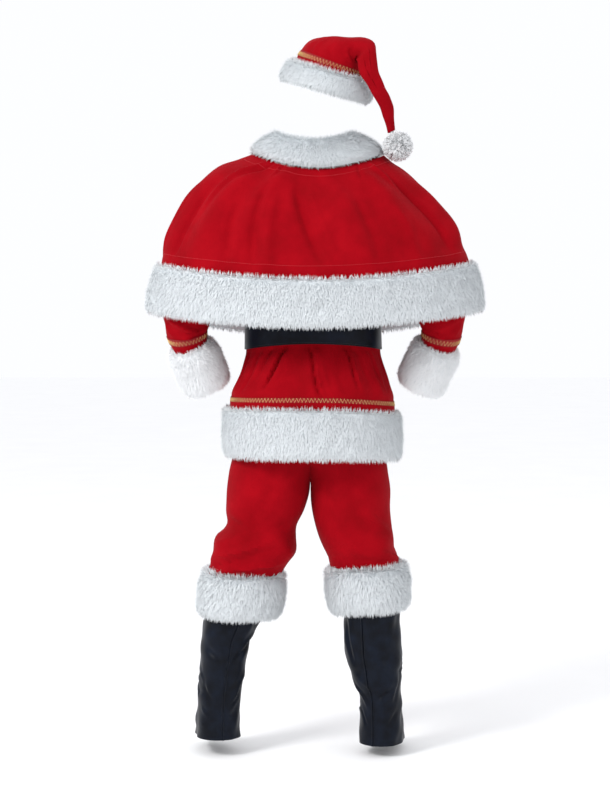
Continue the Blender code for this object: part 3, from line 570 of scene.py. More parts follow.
@dataclass
class Form:
    """A surface round a body or limb: angle in degrees (0 at +X, 90 at the front), level down its rows.

    scale is metres to a degree and metres to a level, for the creases. crumple_size and crumple_height are the
    soft random waves that worn cloth has everywhere.
    """

    rows: Sequence[tuple]
    folds: Sequence[Fold] = ()
    creases: Sequence[Crease] = ()
    scale: tuple[float, float] = (0.003, 0.06)
    crumple_size: float = 0.07
    crumple_height: float = 0.0

    def plain(self, angle: np.ndarray, level: np.ndarray) -> np.ndarray:
        """Points of the form without folds, heights from the floor."""
        raise NotImplementedError

    def plain_normal(self, angle: np.ndarray, level: np.ndarray) -> np.ndarray:
        """Outward normals of the form without folds.

        Args:
            angle: Angles of the points.
            level: Levels of the points.

        Returns:
            Unit vectors.
        """
        step = 0.02
        high = np.maximum(level - step, 0.0)
        low = np.minimum(level + step, len(self.rows) - 1.0)
        down = self.plain(angle, low) - self.plain(angle, high)
        around = self.plain(angle + step, level) - self.plain(angle - step, level)
        return unit(np.cross(down, around))

    def point(self, angle: np.ndarray, level: np.ndarray) -> np.ndarray:
        """Points of the folded form, in the suit's frame.

        Args:
            angle: Angles of the points.
            level: Levels of the points.

        Returns:
            The points.
        """
        angle, level = np.broadcast_arrays(np.asarray(angle, float), np.asarray(level, float))
        place = self.plain(angle, level)
        height = sum((fold.height(angle, level) for fold in self.folds), np.zeros(angle.shape))
        height = height + sum((crease.height(angle, level, self.scale) for crease in self.creases), 0.0)
        if self.crumple_height:
            height = height + crumple(place, self.crumple_size, self.crumple_height)
        place = place + height[..., None] * self.plain_normal(angle, level)
        return place - np.array((0.0, 0.0, SHOULDER_HEIGHT))

    def normal(self, angle: np.ndarray, level: np.ndarray) -> np.ndarray:
        """Outward normals of the folded form.

        Args:
            angle: Angles of the points.
            level: Levels of the points.

        Returns:
            Unit vectors.
        """
        angle, level = np.broadcast_arrays(np.asarray(angle, float), np.asarray(level, float))
        step = 0.05
        high = np.maximum(level - step, 0.0)
        low = np.minimum(level + step, len(self.rows) - 1.0)
        down = self.point(angle, low) - self.point(angle, high)
        around = self.point(angle + 10.0 * step, level) - self.point(angle - 10.0 * step, level)
        return unit(np.cross(down, around))

    def down(self, angle: np.ndarray, level: np.ndarray) -> np.ndarray:
        """Unit vectors down the form.

        Args:
            angle: Angles of the points.
            level: Levels of the points.

        Returns:
            The vectors.
        """
        step = 0.05
        last = len(self.rows) - 1.0
        low = self.point(angle, np.minimum(level + step, last))
        return unit(low - self.point(angle, np.maximum(level - step, 0.0)))

    def even_levels(self, top: float, bottom: float, step: float, angle: float = BACK) -> np.ndarray:
        """Levels from top to bottom that lie about a step apart along one column.

        Args:
            top: First level.
            bottom: Last level.
            step: Wished distance in metres.
            angle: Column along which the distance is measured.

        Returns:
            The levels, both ends kept.
        """
        fine = np.linspace(top, bottom, 200)
        places = self.plain(np.full(fine.shape, angle), fine)
        way = np.concatenate(([0.0], np.cumsum(np.linalg.norm(np.diff(places, axis=0), axis=1))))
        count = max(int(round(way[-1] / step)), 2)
        return np.interp(np.linspace(0.0, way[-1], count + 1), way, fine)


def crumple(places: np.ndarray, size: float, height: float) -> np.ndarray:
    """Soft random waves in space, the same wherever two panels meet.

    Args:
        places: Points, in metres.
        size: Typical wavelength, in metres.
        height: Typical height of the waves, in metres.

    Returns:
        The height at each point.
    """
    chance = np.random.default_rng(25)
    total = np.zeros(places.shape[:-1])
    for _ in range(CRUMPLE_WAVES):
        way = unit(chance.normal(size=3))
        length = size * chance.uniform(0.6, 1.7)
        total = total + np.sin(places @ way * (math.tau / length) + chance.uniform(0.0, math.tau))
    return height * total / math.sqrt(CRUMPLE_WAVES)


@dataclass
class BodyForm(Form):
    """Rings round the body."""

    power: float = 2.25

    def plain(self, angle: np.ndarray, level: np.ndarray) -> np.ndarray:
        """Points of the rings.

        Args:
            angle: Angles of the points.
            level: Levels of the points.

        Returns:
            The points, heights from the floor.
        """
        row = blended(self.rows, level)
        across, along = oval(angle, self.power)
        x = row.x + across * np.where(across > 0, row.right, row.left)
        y = row.y + along * np.where(along > 0, row.front, row.back)
        side_z = np.where(across > 0, row.right_z, row.left_z)
        end_z = np.where(along > 0, row.front_z, row.back_z)
        share = np.cos(np.radians(angle)) ** 2
        return np.stack((x, y, side_z * share + end_z * (1.0 - share)), axis=-1)


@dataclass
class SleeveForm(Form):
    """Rings square to a bent centre line; side is -1 on the left and 1 on the right."""

    side: int = 1

    def centre(self, level: np.ndarray) -> np.ndarray:
        """Points of the centre line."""
        row = blended(self.rows, level)
        return np.stack((self.side * row.x, row.y, row.z), axis=-1)

    def plain(self, angle: np.ndarray, level: np.ndarray) -> np.ndarray:
        """Points of the tube.

        Args:
            angle: Angles of the points.
            level: Levels of the points.

        Returns:
            The points, heights from the floor.
        """
        row = blended(self.rows, level)
        reach = 0.25
        last = len(self.rows) - 1.0
        way = unit(self.centre(np.minimum(level + reach, last)) - self.centre(np.maximum(level - reach, 0.0)))
        ahead = np.array((0.0, 1.0, 0.0))
        forward = unit(ahead - way * (way @ ahead)[..., None])
        sideways = np.cross(way, forward)
        across, along = oval(angle, 2.0)
        place = self.centre(level) + (across * row.half_x)[..., None] * sideways
        return place + (along * row.half_y)[..., None] * forward


@dataclass
class LegForm(Form):
    """Half of the trousers: a tube below the crotch that opens to half of the hips above it.

    angle runs from the inner edge round the outside and back, 0 to 360.
    """

    side: int = 1

    def plain(self, angle: np.ndarray, level: np.ndarray) -> np.ndarray:
        """Points of the leg and hip.

        Args:
            angle: Angles of the points.
            level: Levels of the points.

        Returns:
            The points, heights from the floor.
        """
        row = blended(self.rows, level)
        leg_angle = angle if self.side < 0 else angle + 180.0
        hip_angle = angle / 2.0 + (90.0 if self.side < 0 else 270.0)
        across, along = oval(leg_angle, 2.2)
        leg_y = along * np.where(along > 0, row.leg_front, row.leg_back)
        leg = np.stack((self.side * row.leg_x + across * row.leg_half, leg_y, row.height + 0.0 * angle), axis=-1)
        across, along = oval(hip_angle, 2.25)
        hip_y = along * np.where(along > 0, row.hip_front, row.hip_back)
        hip = np.stack((row.centre + across * row.hip_x, hip_y, row.height + 0.0 * angle), axis=-1)
        share = np.broadcast_to(row.share, angle.shape)[..., None]
        place = leg + (hip - leg) * share
        end_rise = np.where(along > 0, row.front_rise, row.back_rise)
        place[..., 2] += end_rise * (1.0 - np.cos(np.radians(hip_angle)) ** 2)
        return place


@dataclass
class BootForm(Form):
    """Rings round a lower leg and foot, turned so that the toes point a little outwards."""

    side: int = 1
    toe_out: float = 14.0

    def plain(self, angle: np.ndarray, level: np.ndarray) -> np.ndarray:
        """Points of the boot cover.

        Args:
            angle: Angles of the points.
            level: Levels of the points.

        Returns:
            The points, heights from the floor.
        """
        row = blended(self.rows, level)
        across, along = oval(angle, 2.0)
        x = across * row.half_x
        y = along * np.where(along > 0, row.front, row.back)
        turn = math.radians(-self.side * self.toe_out)
        height = row.height - row.front_drop * np.maximum(along, 0.0) ** 2
        turned_x = x * math.cos(turn) - y * math.sin(turn)
        turned_y = x * math.sin(turn) + y * math.cos(turn)
        return np.stack((row.x + turned_x, row.y + turned_y, height), axis=-1)


@dataclass
class HatForm(Form):
    """Rings of the hat from the tip of its tail to the brim; tilt leans a ring's axis from up towards +X."""

    def plain(self, angle: np.ndarray, level: np.ndarray) -> np.ndarray:
        """Points of the hat.

        Args:
            angle: Angles of the points.
            level: Levels of the points.

        Returns:
            The points, heights from the floor.
        """
        row = blended(self.rows, level)
        tilt = np.radians(row.tilt)
        pitch = np.radians(row.pitch)
        nothing = np.zeros(np.shape(tilt))
        sideways = np.stack((np.cos(tilt), nothing, -np.sin(tilt)), axis=-1)
        forward = np.stack((nothing, np.cos(pitch), np.sin(pitch)), axis=-1)
        across, along = oval(angle, 2.0)
        centre = np.stack((row.x, row.y, row.z), axis=-1)
        place = centre + (across * row.half_height)[..., None] * sideways
        return place + (along * row.half_depth)[..., None] * forward


def new_object(name: str, mesh: bpy.types.Mesh) -> Object:
    """Puts a mesh in the scene as an object at the origin.

    Args:
        name: Name of the object.
        mesh: Its mesh.

    Returns:
        The object.
    """
    obj = bpy.data.objects.new(name, mesh)
    bpy.context.scene.collection.objects.link(obj)
    return obj


def store(
    mesh: bpy.types.Mesh, name: str, values: np.ndarray, kind: str = "FLOAT_VECTOR", domain: str = "POINT"
) -> None:
    """Stores a named attribute on a mesh.

    Args:
        mesh: Mesh that gets it.
        name: Its name.
        values: One value or vector for each element.
        kind: Blender's type of the values.
        domain: What the values belong to.
    """
    field = "vector" if kind == "FLOAT_VECTOR" else "value"
    mesh.attributes.new(name, kind, domain).data.foreach_set(field, values.ravel())


def mesh_from(shape: bmesh.types.BMesh, name: str) -> bpy.types.Mesh:
    """Turns an edited shape into a smooth mesh.

    Args:
        shape: Shape, which is freed.
        name: Name of the mesh.

    Returns:
        The mesh.
    """
    mesh = bpy.data.meshes.new(name)
    shape.to_mesh(mesh)
    shape.free()
    mesh.shade_smooth()
    return mesh


def keep_result(obj: Object, modifier: bpy.types.Modifier) -> None:
    """Makes the result of an object's modifier its plain mesh.

    Args:
        obj: Object that has the modifier.
        modifier: The modifier, which is removed.
    """
    bpy.context.view_layer.update()
    graph = bpy.context.evaluated_depsgraph_get()
    result = bpy.data.meshes.new_from_object(obj.evaluated_get(graph))
    obj.modifiers.remove(modifier)
    raw = obj.data
    obj.data = result
    bpy.data.meshes.remove(raw)


def grid_quads(rows: int, columns: int, closed: bool) -> np.ndarray:
    """Corner numbers of a grid's quads, facing the side that the columns run round.

    Args:
        rows: Rows of points.
        columns: Columns of points.
        closed: Whether the last column meets the first.

    Returns:
        Four numbers for each quad.
    """
    row, column = np.meshgrid(np.arange(rows - 1), np.arange(columns if closed else columns - 1), indexing="ij")
    after = (column + 1) % columns
    here = row * columns
    quads = np.stack((here + column, here + columns + column, here + columns + after, here + after), axis=-1)
    return quads.reshape(-1, 4)


def shell_mesh(name: str, outer: np.ndarray, inner: np.ndarray, closed: bool) -> bpy.types.Mesh:
    """A closed wall between an outer and an inner grid of points.

    Args:
        name: Name of the mesh.
        outer: Points by level and column, on the outside.
        inner: Points of the same grid on the inside.
        closed: Whether the columns run all the way round.

    Returns:
        The mesh, smooth but for its rims.
    """
    rows, columns = outer.shape[:2]
    count = rows * columns
    quads = [grid_quads(rows, columns, closed), grid_quads(rows, columns, closed)[:, ::-1] + count]
    column = np.arange(columns if closed else columns - 1)
    after = (column + 1) % columns
    last = (rows - 1) * columns
    quads.append(np.stack((column, after, after + count, column + count), axis=-1))
    quads.append(np.stack((last + after, last + column, last + column + count, last + after + count), axis=-1))
    if not closed:
        row = np.arange(rows - 1) * columns
        low = row + columns
        quads.append(np.stack((low, row, row + count, low + count), axis=-1))
        row = row + columns - 1
        low = row + columns
        quads.append(np.stack((row, low, low + count, row + count), axis=-1))
    mesh = bpy.data.meshes.new(name)
    places = np.concatenate((outer.reshape(-1, 3), inner.reshape(-1, 3)))
    mesh.from_pydata(places.tolist(), [], np.concatenate(quads).tolist())
    mesh.shade_smooth()
    mesh.set_sharp_from_angle(angle=math.radians(60.0))
    return mesh


def wall(
    name: str,
    form: Form,
    angles: np.ndarray,
    levels: np.ndarray,
    outer: float = 0.0,
    thickness: float = CLOTH,
    closed: bool = False,
) -> Object:
    """A cloth panel or tube that follows a form.

    Args:
        name: Name of the piece.
        form: Surface that it follows.
        angles: Its columns, in degrees.
        levels: Its rows.
        outer: How far its outside lies out of the form.
        thickness: Thickness of the cloth.
        closed: Whether it runs all the way round.

    Returns:
        The piece.
    """
    level, angle = np.meshgrid(levels, angles, indexing="ij")
    place = form.point(angle, level)
    normal = form.normal(angle, level)
    mesh = shell_mesh(name, place + outer * normal, place + (outer - thickness) * normal, closed)
    return new_object(name, mesh)


def panel_angles(start: float, end: float, step: float, radius: float) -> np.ndarray:
    """Columns from seam to seam; the two edges stand back half of the gap between panels.

    Args:
        start: Angle of the first seam.
        end: Angle of the last seam.
        step: Wished distance in degrees.
        radius: Rough radius there, in metres.

    Returns:
        The angles.
    """
    angles = np.linspace(start, end, max(int(round((end - start) / step)), 2) + 1)
    turn = math.degrees(PANEL_GAP / 2.0 / radius)
    angles[0] += turn
    angles[-1] -= turn
    return angles


def round_angles(columns: int) -> np.ndarray:
    """Columns all the way round."""
    return np.linspace(0.0, 360.0, columns, endpoint=False)


def run_tree(obj: Object, tree: Tree, values: Mapping[str, Any]) -> Object:
    """Runs a geometry tree on an object and keeps the result as its plain mesh.

    Args:
        obj: Object whose mesh goes in and is replaced.
        tree: Geometry tree.
        values: Values of the tree's inputs by name.

    Returns:
        The same object.
    """
    modifier = obj.modifiers.new(tree.name, "NODES")
    modifier.node_group = tree
    for item in tree.interface.items_tree:
        if item.item_type == "SOCKET" and item.in_out == "INPUT" and item.name in values:
            modifier[item.identifier] = values[item.name]
    keep_result(obj, modifier)
    return obj


def new_tree(name: str, inputs: Mapping[str, str]) -> tuple[Tree, Mapping[str, Socket]]:
    """Starts a geometry tree.

    Args:
        name: Name of the tree.
        inputs: Kinds of its inputs by name, besides the geometry.

    Returns:
        The tree and its inputs' sockets by name.
    """
    tree = bpy.data.node_groups.new(name, "GeometryNodeTree")
    tree.interface.new_socket("Geometry", in_out="INPUT", socket_type="NodeSocketGeometry")
    for title, kind in inputs.items():
        tree.interface.new_socket(title, in_out="INPUT", socket_type="NodeSocket" + kind)
    tree.interface.new_socket("Geometry", in_out="OUTPUT", socket_type="NodeSocketGeometry")
    entry = add_node(tree, "NodeGroupInput")
    return tree, {socket.name: socket for socket in entry.outputs if socket.name}


def end_tree(tree: Tree, geometry: Socket, material: Socket) -> None:
    """Ends a geometry tree: instances made real, material set.

    Args:
        tree: Tree.
        geometry: Socket of what it has built.
        material: Socket of the finish.
    """
    real = add_node(tree, "GeometryNodeRealizeInstances", links={"Geometry": geometry})
    dressed = add_node(
        tree, "GeometryNodeSetMaterial", links={"Geometry": real.outputs["Geometry"], "Material": material}
    )
    add_node(tree, "NodeGroupOutput", links={"Geometry": dressed.outputs["Geometry"]})


def named(tree: Tree, name: str, kind: str = "FLOAT_VECTOR") -> Socket:
    """A named attribute in a geometry tree."""
    node = add_node(tree, "GeometryNodeInputNamedAttribute", {"data_type": kind, "Name": name})
    return node.outputs["Attribute"]


def even_curve(tree: Tree, line: Socket, step: Socket) -> Socket:
    """A mesh of edges as a curve whose points lie a step apart.

    Args:
        tree: Tree that gets the nodes.
        line: Socket of the mesh.
        step: Socket of the distance.

    Returns:
        Socket of the curve.
    """
    curve = add_node(tree, "GeometryNodeMeshToCurve", links={"Mesh": line}).outputs["Curve"]
    links = {"Curve": curve, "Length": step}
    return add_node(tree, "GeometryNodeResampleCurve", {"mode": "LENGTH"}, links).outputs["Curve"]


class Pile:
    """Plush pile: tapered locks set on a ground, combed one way, leaning together in tufts."""

    SEED = 11

    def __init__(self, finish: Material) -> None:
        """Builds the lock and the tree that sets it.

        Args:
            finish: Material of the pile.
        """
        self.finish = finish
        self.lock = self.lock_object()
        self.tree = self.pile_tree()

    @staticmethod
    def lock_object() -> Object:
        """One lock, 1 long and 1 wide: two triangles that bend over at their middle."""
        mesh = bpy.data.meshes.new("lock")
        places = [(0.0, 0.0, 0.0), (0.5, 0.03, 0.42), (-0.5, 0.03, 0.42), (0.0, -0.14, 1.0)]
        mesh.from_pydata(places, [], [(0, 1, 2), (2, 1, 3)])
        mesh.shade_smooth()
        # along, 0 at the root and 1 at the tip, lets the plush paint shade at the roots.
        store(mesh, "along", np.array((0.0, 0.6, 0.6, 1.0)), "FLOAT")
        return new_object("lock", mesh)

    def chance(self, tree: Tree, low: float, high: float, offset: int) -> Socket:
        """A number by chance for each lock, with a seed of its own."""
        settings = {"data_type": "FLOAT", 2: low, 3: high, "Seed": self.SEED + offset}
        return add_node(tree, "FunctionNodeRandomValue", settings).outputs[1]

    def pile_tree(self) -> Tree:
        """The tree: points on the ground's hairy faces, a lock on each."""
        tree, given = new_tree(
            "pile",
            {
                "Lock": "Object", "Finish": "Material", "Length": "Float", "Width": "Float", "Density": "Float",
                "Tufts": "Float", "Tuft Lean": "Float", "Spread": "Float", "Seed": "Int",
            },
        )
        sources = {name: given[name] for name in ("Density", "Seed")}
        sources.update({"Mesh": given["Geometry"], "Selection": named(tree, "hairy", "BOOLEAN")})
        scattered_on = add_node(
            tree, "GeometryNodeDistributePointsOnFaces", {"distribute_method": "RANDOM"}, sources
        )
        place = add_node(tree, "GeometryNodeInputPosition").outputs["Position"]
        tufts = add_node(tree, "ShaderNodeTexVoronoi", links={"Vector": place, "Scale": given["Tufts"]})
        centred = add_node(
            tree, "ShaderNodeVectorMath", {"operation": "SUBTRACT"}, {0: tufts.outputs["Position"], 1: place}
        )
        lean = vector_scaled(tree, centred.outputs["Vector"], given["Tuft Lean"])
        chance = add_node(
            tree,
            "FunctionNodeRandomValue",
            {"data_type": "FLOAT_VECTOR", 0: (-1.0, -1.0, -1.0), 1: (1.0, 1.0, 1.0)},
            {"Seed": given["Seed"]},
        )
        stray = vector_scaled(tree, chance.outputs[0], given["Spread"])
        combed = vector_scaled(tree, named(tree, "comb"), self.chance(tree, 0.45, 1.15, 2))
        normal = scattered_on.outputs["Normal"]
        way = vector_sum(tree, normal, combed, lean, stray)
        facing = vector_sum(tree, normal, stray)
        turned = add_node(
            tree,
            "FunctionNodeAxesToRotation",
            {"primary_axis": "Z", "secondary_axis": "Y"},
            {"Primary Axis": way, "Secondary Axis": facing},
        )
        long = maths(tree, "MULTIPLY", given["Length"], self.chance(tree, 0.5, 1.1, 0))
        size = add_node(tree, "ShaderNodeCombineXYZ", {"X": given["Width"], "Y": long, "Z": long})
        points = scattered_on.outputs["Points"]
        for name, kind, value in (
            ("tone", "FLOAT", self.chance(tree, 0.0, 0.25, 1)), ("lay", "FLOAT_VECTOR", normal),
        ):
            points = add_node(
                tree,
                "GeometryNodeStoreNamedAttribute",
                {"data_type": kind, "domain": "POINT", "Name": name},
                {"Geometry": points, "Value": value},
            ).outputs["Geometry"]
        lock = add_node(tree, "GeometryNodeObjectInfo", links={"Object": given["Lock"]})
        locks = add_node(
            tree,
            "GeometryNodeInstanceOnPoints",
            links={
                "Points": points,
                "Instance": lock.outputs["Geometry"],
                "Rotation": turned.outputs["Rotation"],
                "Scale": size.outputs["Vector"],
            },
        )
        both = add_node(tree, "GeometryNodeJoinGeometry", links={"Geometry": given["Geometry"]})
        tree.links.new(locks.outputs["Instances"], both.inputs["Geometry"])
        end_tree(tree, both.outputs["Geometry"], given["Finish"])
        return tree

    def grow(
        self, ground: Object, length: float, width: float, per_cm2: float, seed: int, tuft: float = 0.008
    ) -> Object:
        """Sets pile on a ground.

        Args:
            ground: Piece with the attributes "hairy" on its faces and "comb" on its points.
            length: Length of a full lock.
            width: Width of a lock.
            per_cm2: Locks on a square centimetre.
            seed: Seed of their places.
            tuft: Distance between the tufts in which the locks lean together.

        Returns:
            The ground with its pile, as one mesh.
        """
        values = {
            "Lock": self.lock, "Finish": self.finish, "Length": length, "Width": width, "Density": per_cm2 * 1e4,
            "Tufts": 1.0 / tuft, "Tuft Lean": 0.6 / length, "Spread": 0.3, "Seed": seed,
        }
        normals = np.zeros(3 * len(ground.data.vertices), np.float32)
        ground.data.vertices.foreach_get("normal", normals)
        store(ground.data, "lay", normals)
        return run_tree(ground, self.tree, values)

    def clear(self) -> None:
        """Removes the loose lock."""
        bpy.data.objects.remove(self.lock, do_unlink=True)


@dataclass(frozen=True)
class PlushBand:
    """A plush band: a padded ground that swells out of the cloth, and the pile on it.

    depth is how far the pile reaches. The ground takes ground_share of it, and lock_share is the length of a
    full lock, which lies down over the ground. The comb numbers say how strongly the locks are combed down the
    band: up at its very edge, parted in the next row, then from comb_top to comb_bottom.
    """

    name: str
    depth: float
    per_cm2: float = 36.0
    lock_width: float = 0.0013
    ground_share: float = 0.70
    lock_share: float = 0.65
    step: float = 0.008
    comb_up: float = -0.6
    comb_parting: float = 0.5
    comb_top: float = 0.9
    comb_bottom: float = 1.9
    tuft: float = 0.008
    swell_power: float = 2.2

    def ground(self, form: Form, angles: np.ndarray, top: float, bottom: float, closed: bool) -> Object:
        """Builds the ground with its "hairy" and "comb" attributes.

        Args:
            form: Surface on which the band sits.
            angles: Its columns, in degrees.
            top: Level of its upper edge.
            bottom: Level of its lower edge.
            closed: Whether it runs all the way round.

        Returns:
            The ground.
        """
        levels = form.even_levels(top, bottom, self.step)[:-1]
        fall = (levels - top) / (levels[-1] - top)
        swell = np.sqrt(np.clip(1.0 - np.abs(2.0 * fall - 1.0) ** self.swell_power, 0.0, 1.0))
        out = self.depth * self.ground_share * (0.25 + 0.75 * swell)
        level, angle = np.meshgrid(levels, angles, indexing="ij")
        place = form.point(angle, level)
        normal = form.normal(angle, level)
        lumps = crumple(place, 0.035, 0.06 * self.depth)
        outer = place + (out[:, None] + lumps * swell[:, None])[..., None] * normal
        inner = place - CLOTH * normal
        mesh = shell_mesh(self.name, outer, inner, closed)
        strength = self.comb_top + (self.comb_bottom - self.comb_top) * fall
        strength[0] = self.comb_up
        strength[1] = self.comb_parting
        comb = form.down(angle, level) * strength[:, None, None]
        store(mesh, "comb", np.concatenate((comb.reshape(-1, 3), comb.reshape(-1, 3))))
        quads = (len(levels) - 1) * (len(angles) if closed else len(angles) - 1)
        hairy = np.zeros(len(mesh.polygons), bool)
        hairy[:quads] = True
        if not closed:
            hairy[-2 * (len(levels) - 1) :] = True
        store(mesh, "hairy", hairy, "BOOLEAN", "FACE")
        return new_object(self.name, mesh)

    def build(
        self, pile: Pile, form: Form, angles: np.ndarray, top: float, bottom: float, closed: bool, seed: int
    ) -> Object:
        """Builds the band with its pile.

        Args:
            pile: Pile that it gets.
            form: Surface on which the band sits.
            angles: Its columns, in degrees.
            top: Level of its upper edge.
            bottom: Level of its lower edge.
            closed: Whether it runs all the way round.
            seed: Seed of the pile.

        Returns:
            The finished band.
        """
        ground = self.ground(form, angles, top, bottom, closed)
        length = self.depth * self.lock_share
        return pile.grow(ground, length, self.lock_width, self.per_cm2, seed, self.tuft)


class Sewing:
    """Threads on the cloth: zigzag and cords of the braid, and rows of topstitching."""

    def __init__(self) -> None:
        """Builds the loose stitch and the two trees."""
        self.stitch = self.stitch_object()
        self.thread_tree = self.make_thread_tree()
        self.stitch_tree = self.make_stitch_tree()

    @staticmethod
    def stitch_object() -> Object:
        """One stitch, 1 long and 1 thick, pointing along X: a six-sided bead with sunk ends."""
        shape = bmesh.new()
        bmesh.ops.create_uvsphere(shape, u_segments=6, v_segments=4, radius=0.5)
        for vert in shape.verts:
            vert.co = Vector((vert.co.z, vert.co.x, vert.co.y))
        return new_object("stitch", mesh_from(shape, "stitch"))

    @staticmethod
    def make_thread_tree() -> Tree:
        """The tree of a thread that swings from side to side along a line."""
        tree, given = new_tree(
            "thread",
            {"Finish": "Material", "Half Pitch": "Float", "Swing": "Float", "Radius": "Float", "Lift": "Float"},
        )
        even = even_curve(tree, given["Geometry"], given["Half Pitch"])
        parity = maths(tree, "MODULO", add_node(tree, "GeometryNodeInputIndex").outputs["Index"], 2.0)
        swing = maths(tree, "MULTIPLY", maths(tree, "MULTIPLY_ADD", parity, 2.0, -1.0), given["Swing"])
        aside = vector_scaled(tree, named(tree, "across"), swing)
        above = vector_scaled(tree, named(tree, "out"), given["Lift"])
        moved = add_node(
            tree, "GeometryNodeSetPosition", links={"Geometry": even, "Offset": vector_sum(tree, aside, above)}
        )
        profile = add_node(
            tree, "GeometryNodeCurvePrimitiveCircle", {"mode": "RADIUS", "Resolution": 5}, {"Radius": given["Radius"]}
        )
        tube = add_node(
            tree,
            "GeometryNodeCurveToMesh",
            {"Fill Caps": True},
            {"Curve": moved.outputs["Geometry"], "Profile Curve": profile.outputs["Curve"]},
        )
        end_tree(tree, tube.outputs["Mesh"], given["Finish"])
        return tree

    @staticmethod
    def make_stitch_tree() -> Tree:
        """The tree of a row of stitches along a line."""
        tree, given = new_tree(
            "stitches", {"Stitch": "Object", "Finish": "Material", "Pitch": "Float", "Size": "Vector"}
        )
        even = even_curve(tree, given["Geometry"], given["Pitch"])
        turned = add_node(
            tree,
            "FunctionNodeAxesToRotation",
            {"primary_axis": "X", "secondary_axis": "Z"},
            {
                "Primary Axis": add_node(tree, "GeometryNodeInputTangent").outputs["Tangent"],
                "Secondary Axis": named(tree, "out"),
            },
        )
        one = add_node(tree, "GeometryNodeObjectInfo", links={"Object": given["Stitch"]})
        stitches = add_node(
            tree,
            "GeometryNodeInstanceOnPoints",
            links={
                "Points": even,
                "Instance": one.outputs["Geometry"],
                "Rotation": turned.outputs["Rotation"],
                "Scale": given["Size"],
            },
        )
        end_tree(tree, stitches.outputs["Instances"], given["Finish"])
        return tree

    @staticmethod
    def line(name: str, form: Form, angles: np.ndarray, levels: np.ndarray, out: float, closed: bool) -> Object:
        """A line on a form with the attributes "across", up the form, and "out".

        Args:
            name: Name of the piece.
            form: Surface on which it lies.
            angles: Angles of its points.
            levels: Levels of its points.
            out: How far it lies out of the form.
            closed: Whether its end joins its start.

        Returns:
            The line as a mesh of edges.
        """
        levels = np.broadcast_to(levels, angles.shape)
        normal = form.normal(angles, levels)
        places = form.point(angles, levels) + out * normal
        count = len(places)
        edges = [(k, k + 1) for k in range(count - 1)]
        if closed:
            edges.append((count - 1, 0))
        mesh = bpy.data.meshes.new(name)
        mesh.from_pydata(places.tolist(), edges, [])
        store(mesh, "across", -form.down(angles, levels))
        store(mesh, "out", normal)
        return new_object(name, mesh)

    def thread(
        self, line: Object, finish: Material, half_pitch: float, swing: float, radius: float
    ) -> Object:
        """Turns a line into a thread that swings from side to side."""
        values = {"Finish": finish, "Half Pitch": half_pitch, "Swing": swing, "Radius": radius, "Lift": radius * 0.8}
        return run_tree(line, self.thread_tree, values)

    def stitches(self, line: Object, finish: Material, size: tuple[float, float, float]) -> Object:
        """Turns a line into a row of stitches."""
        values = {"Stitch": self.stitch, "Finish": finish, "Pitch": STITCH_PITCH, "Size": size}
        return run_tree(line, self.stitch_tree, values)

    def clear(self) -> None:
        """Removes the loose stitch."""
        bpy.data.objects.remove(self.stitch, do_unlink=True)


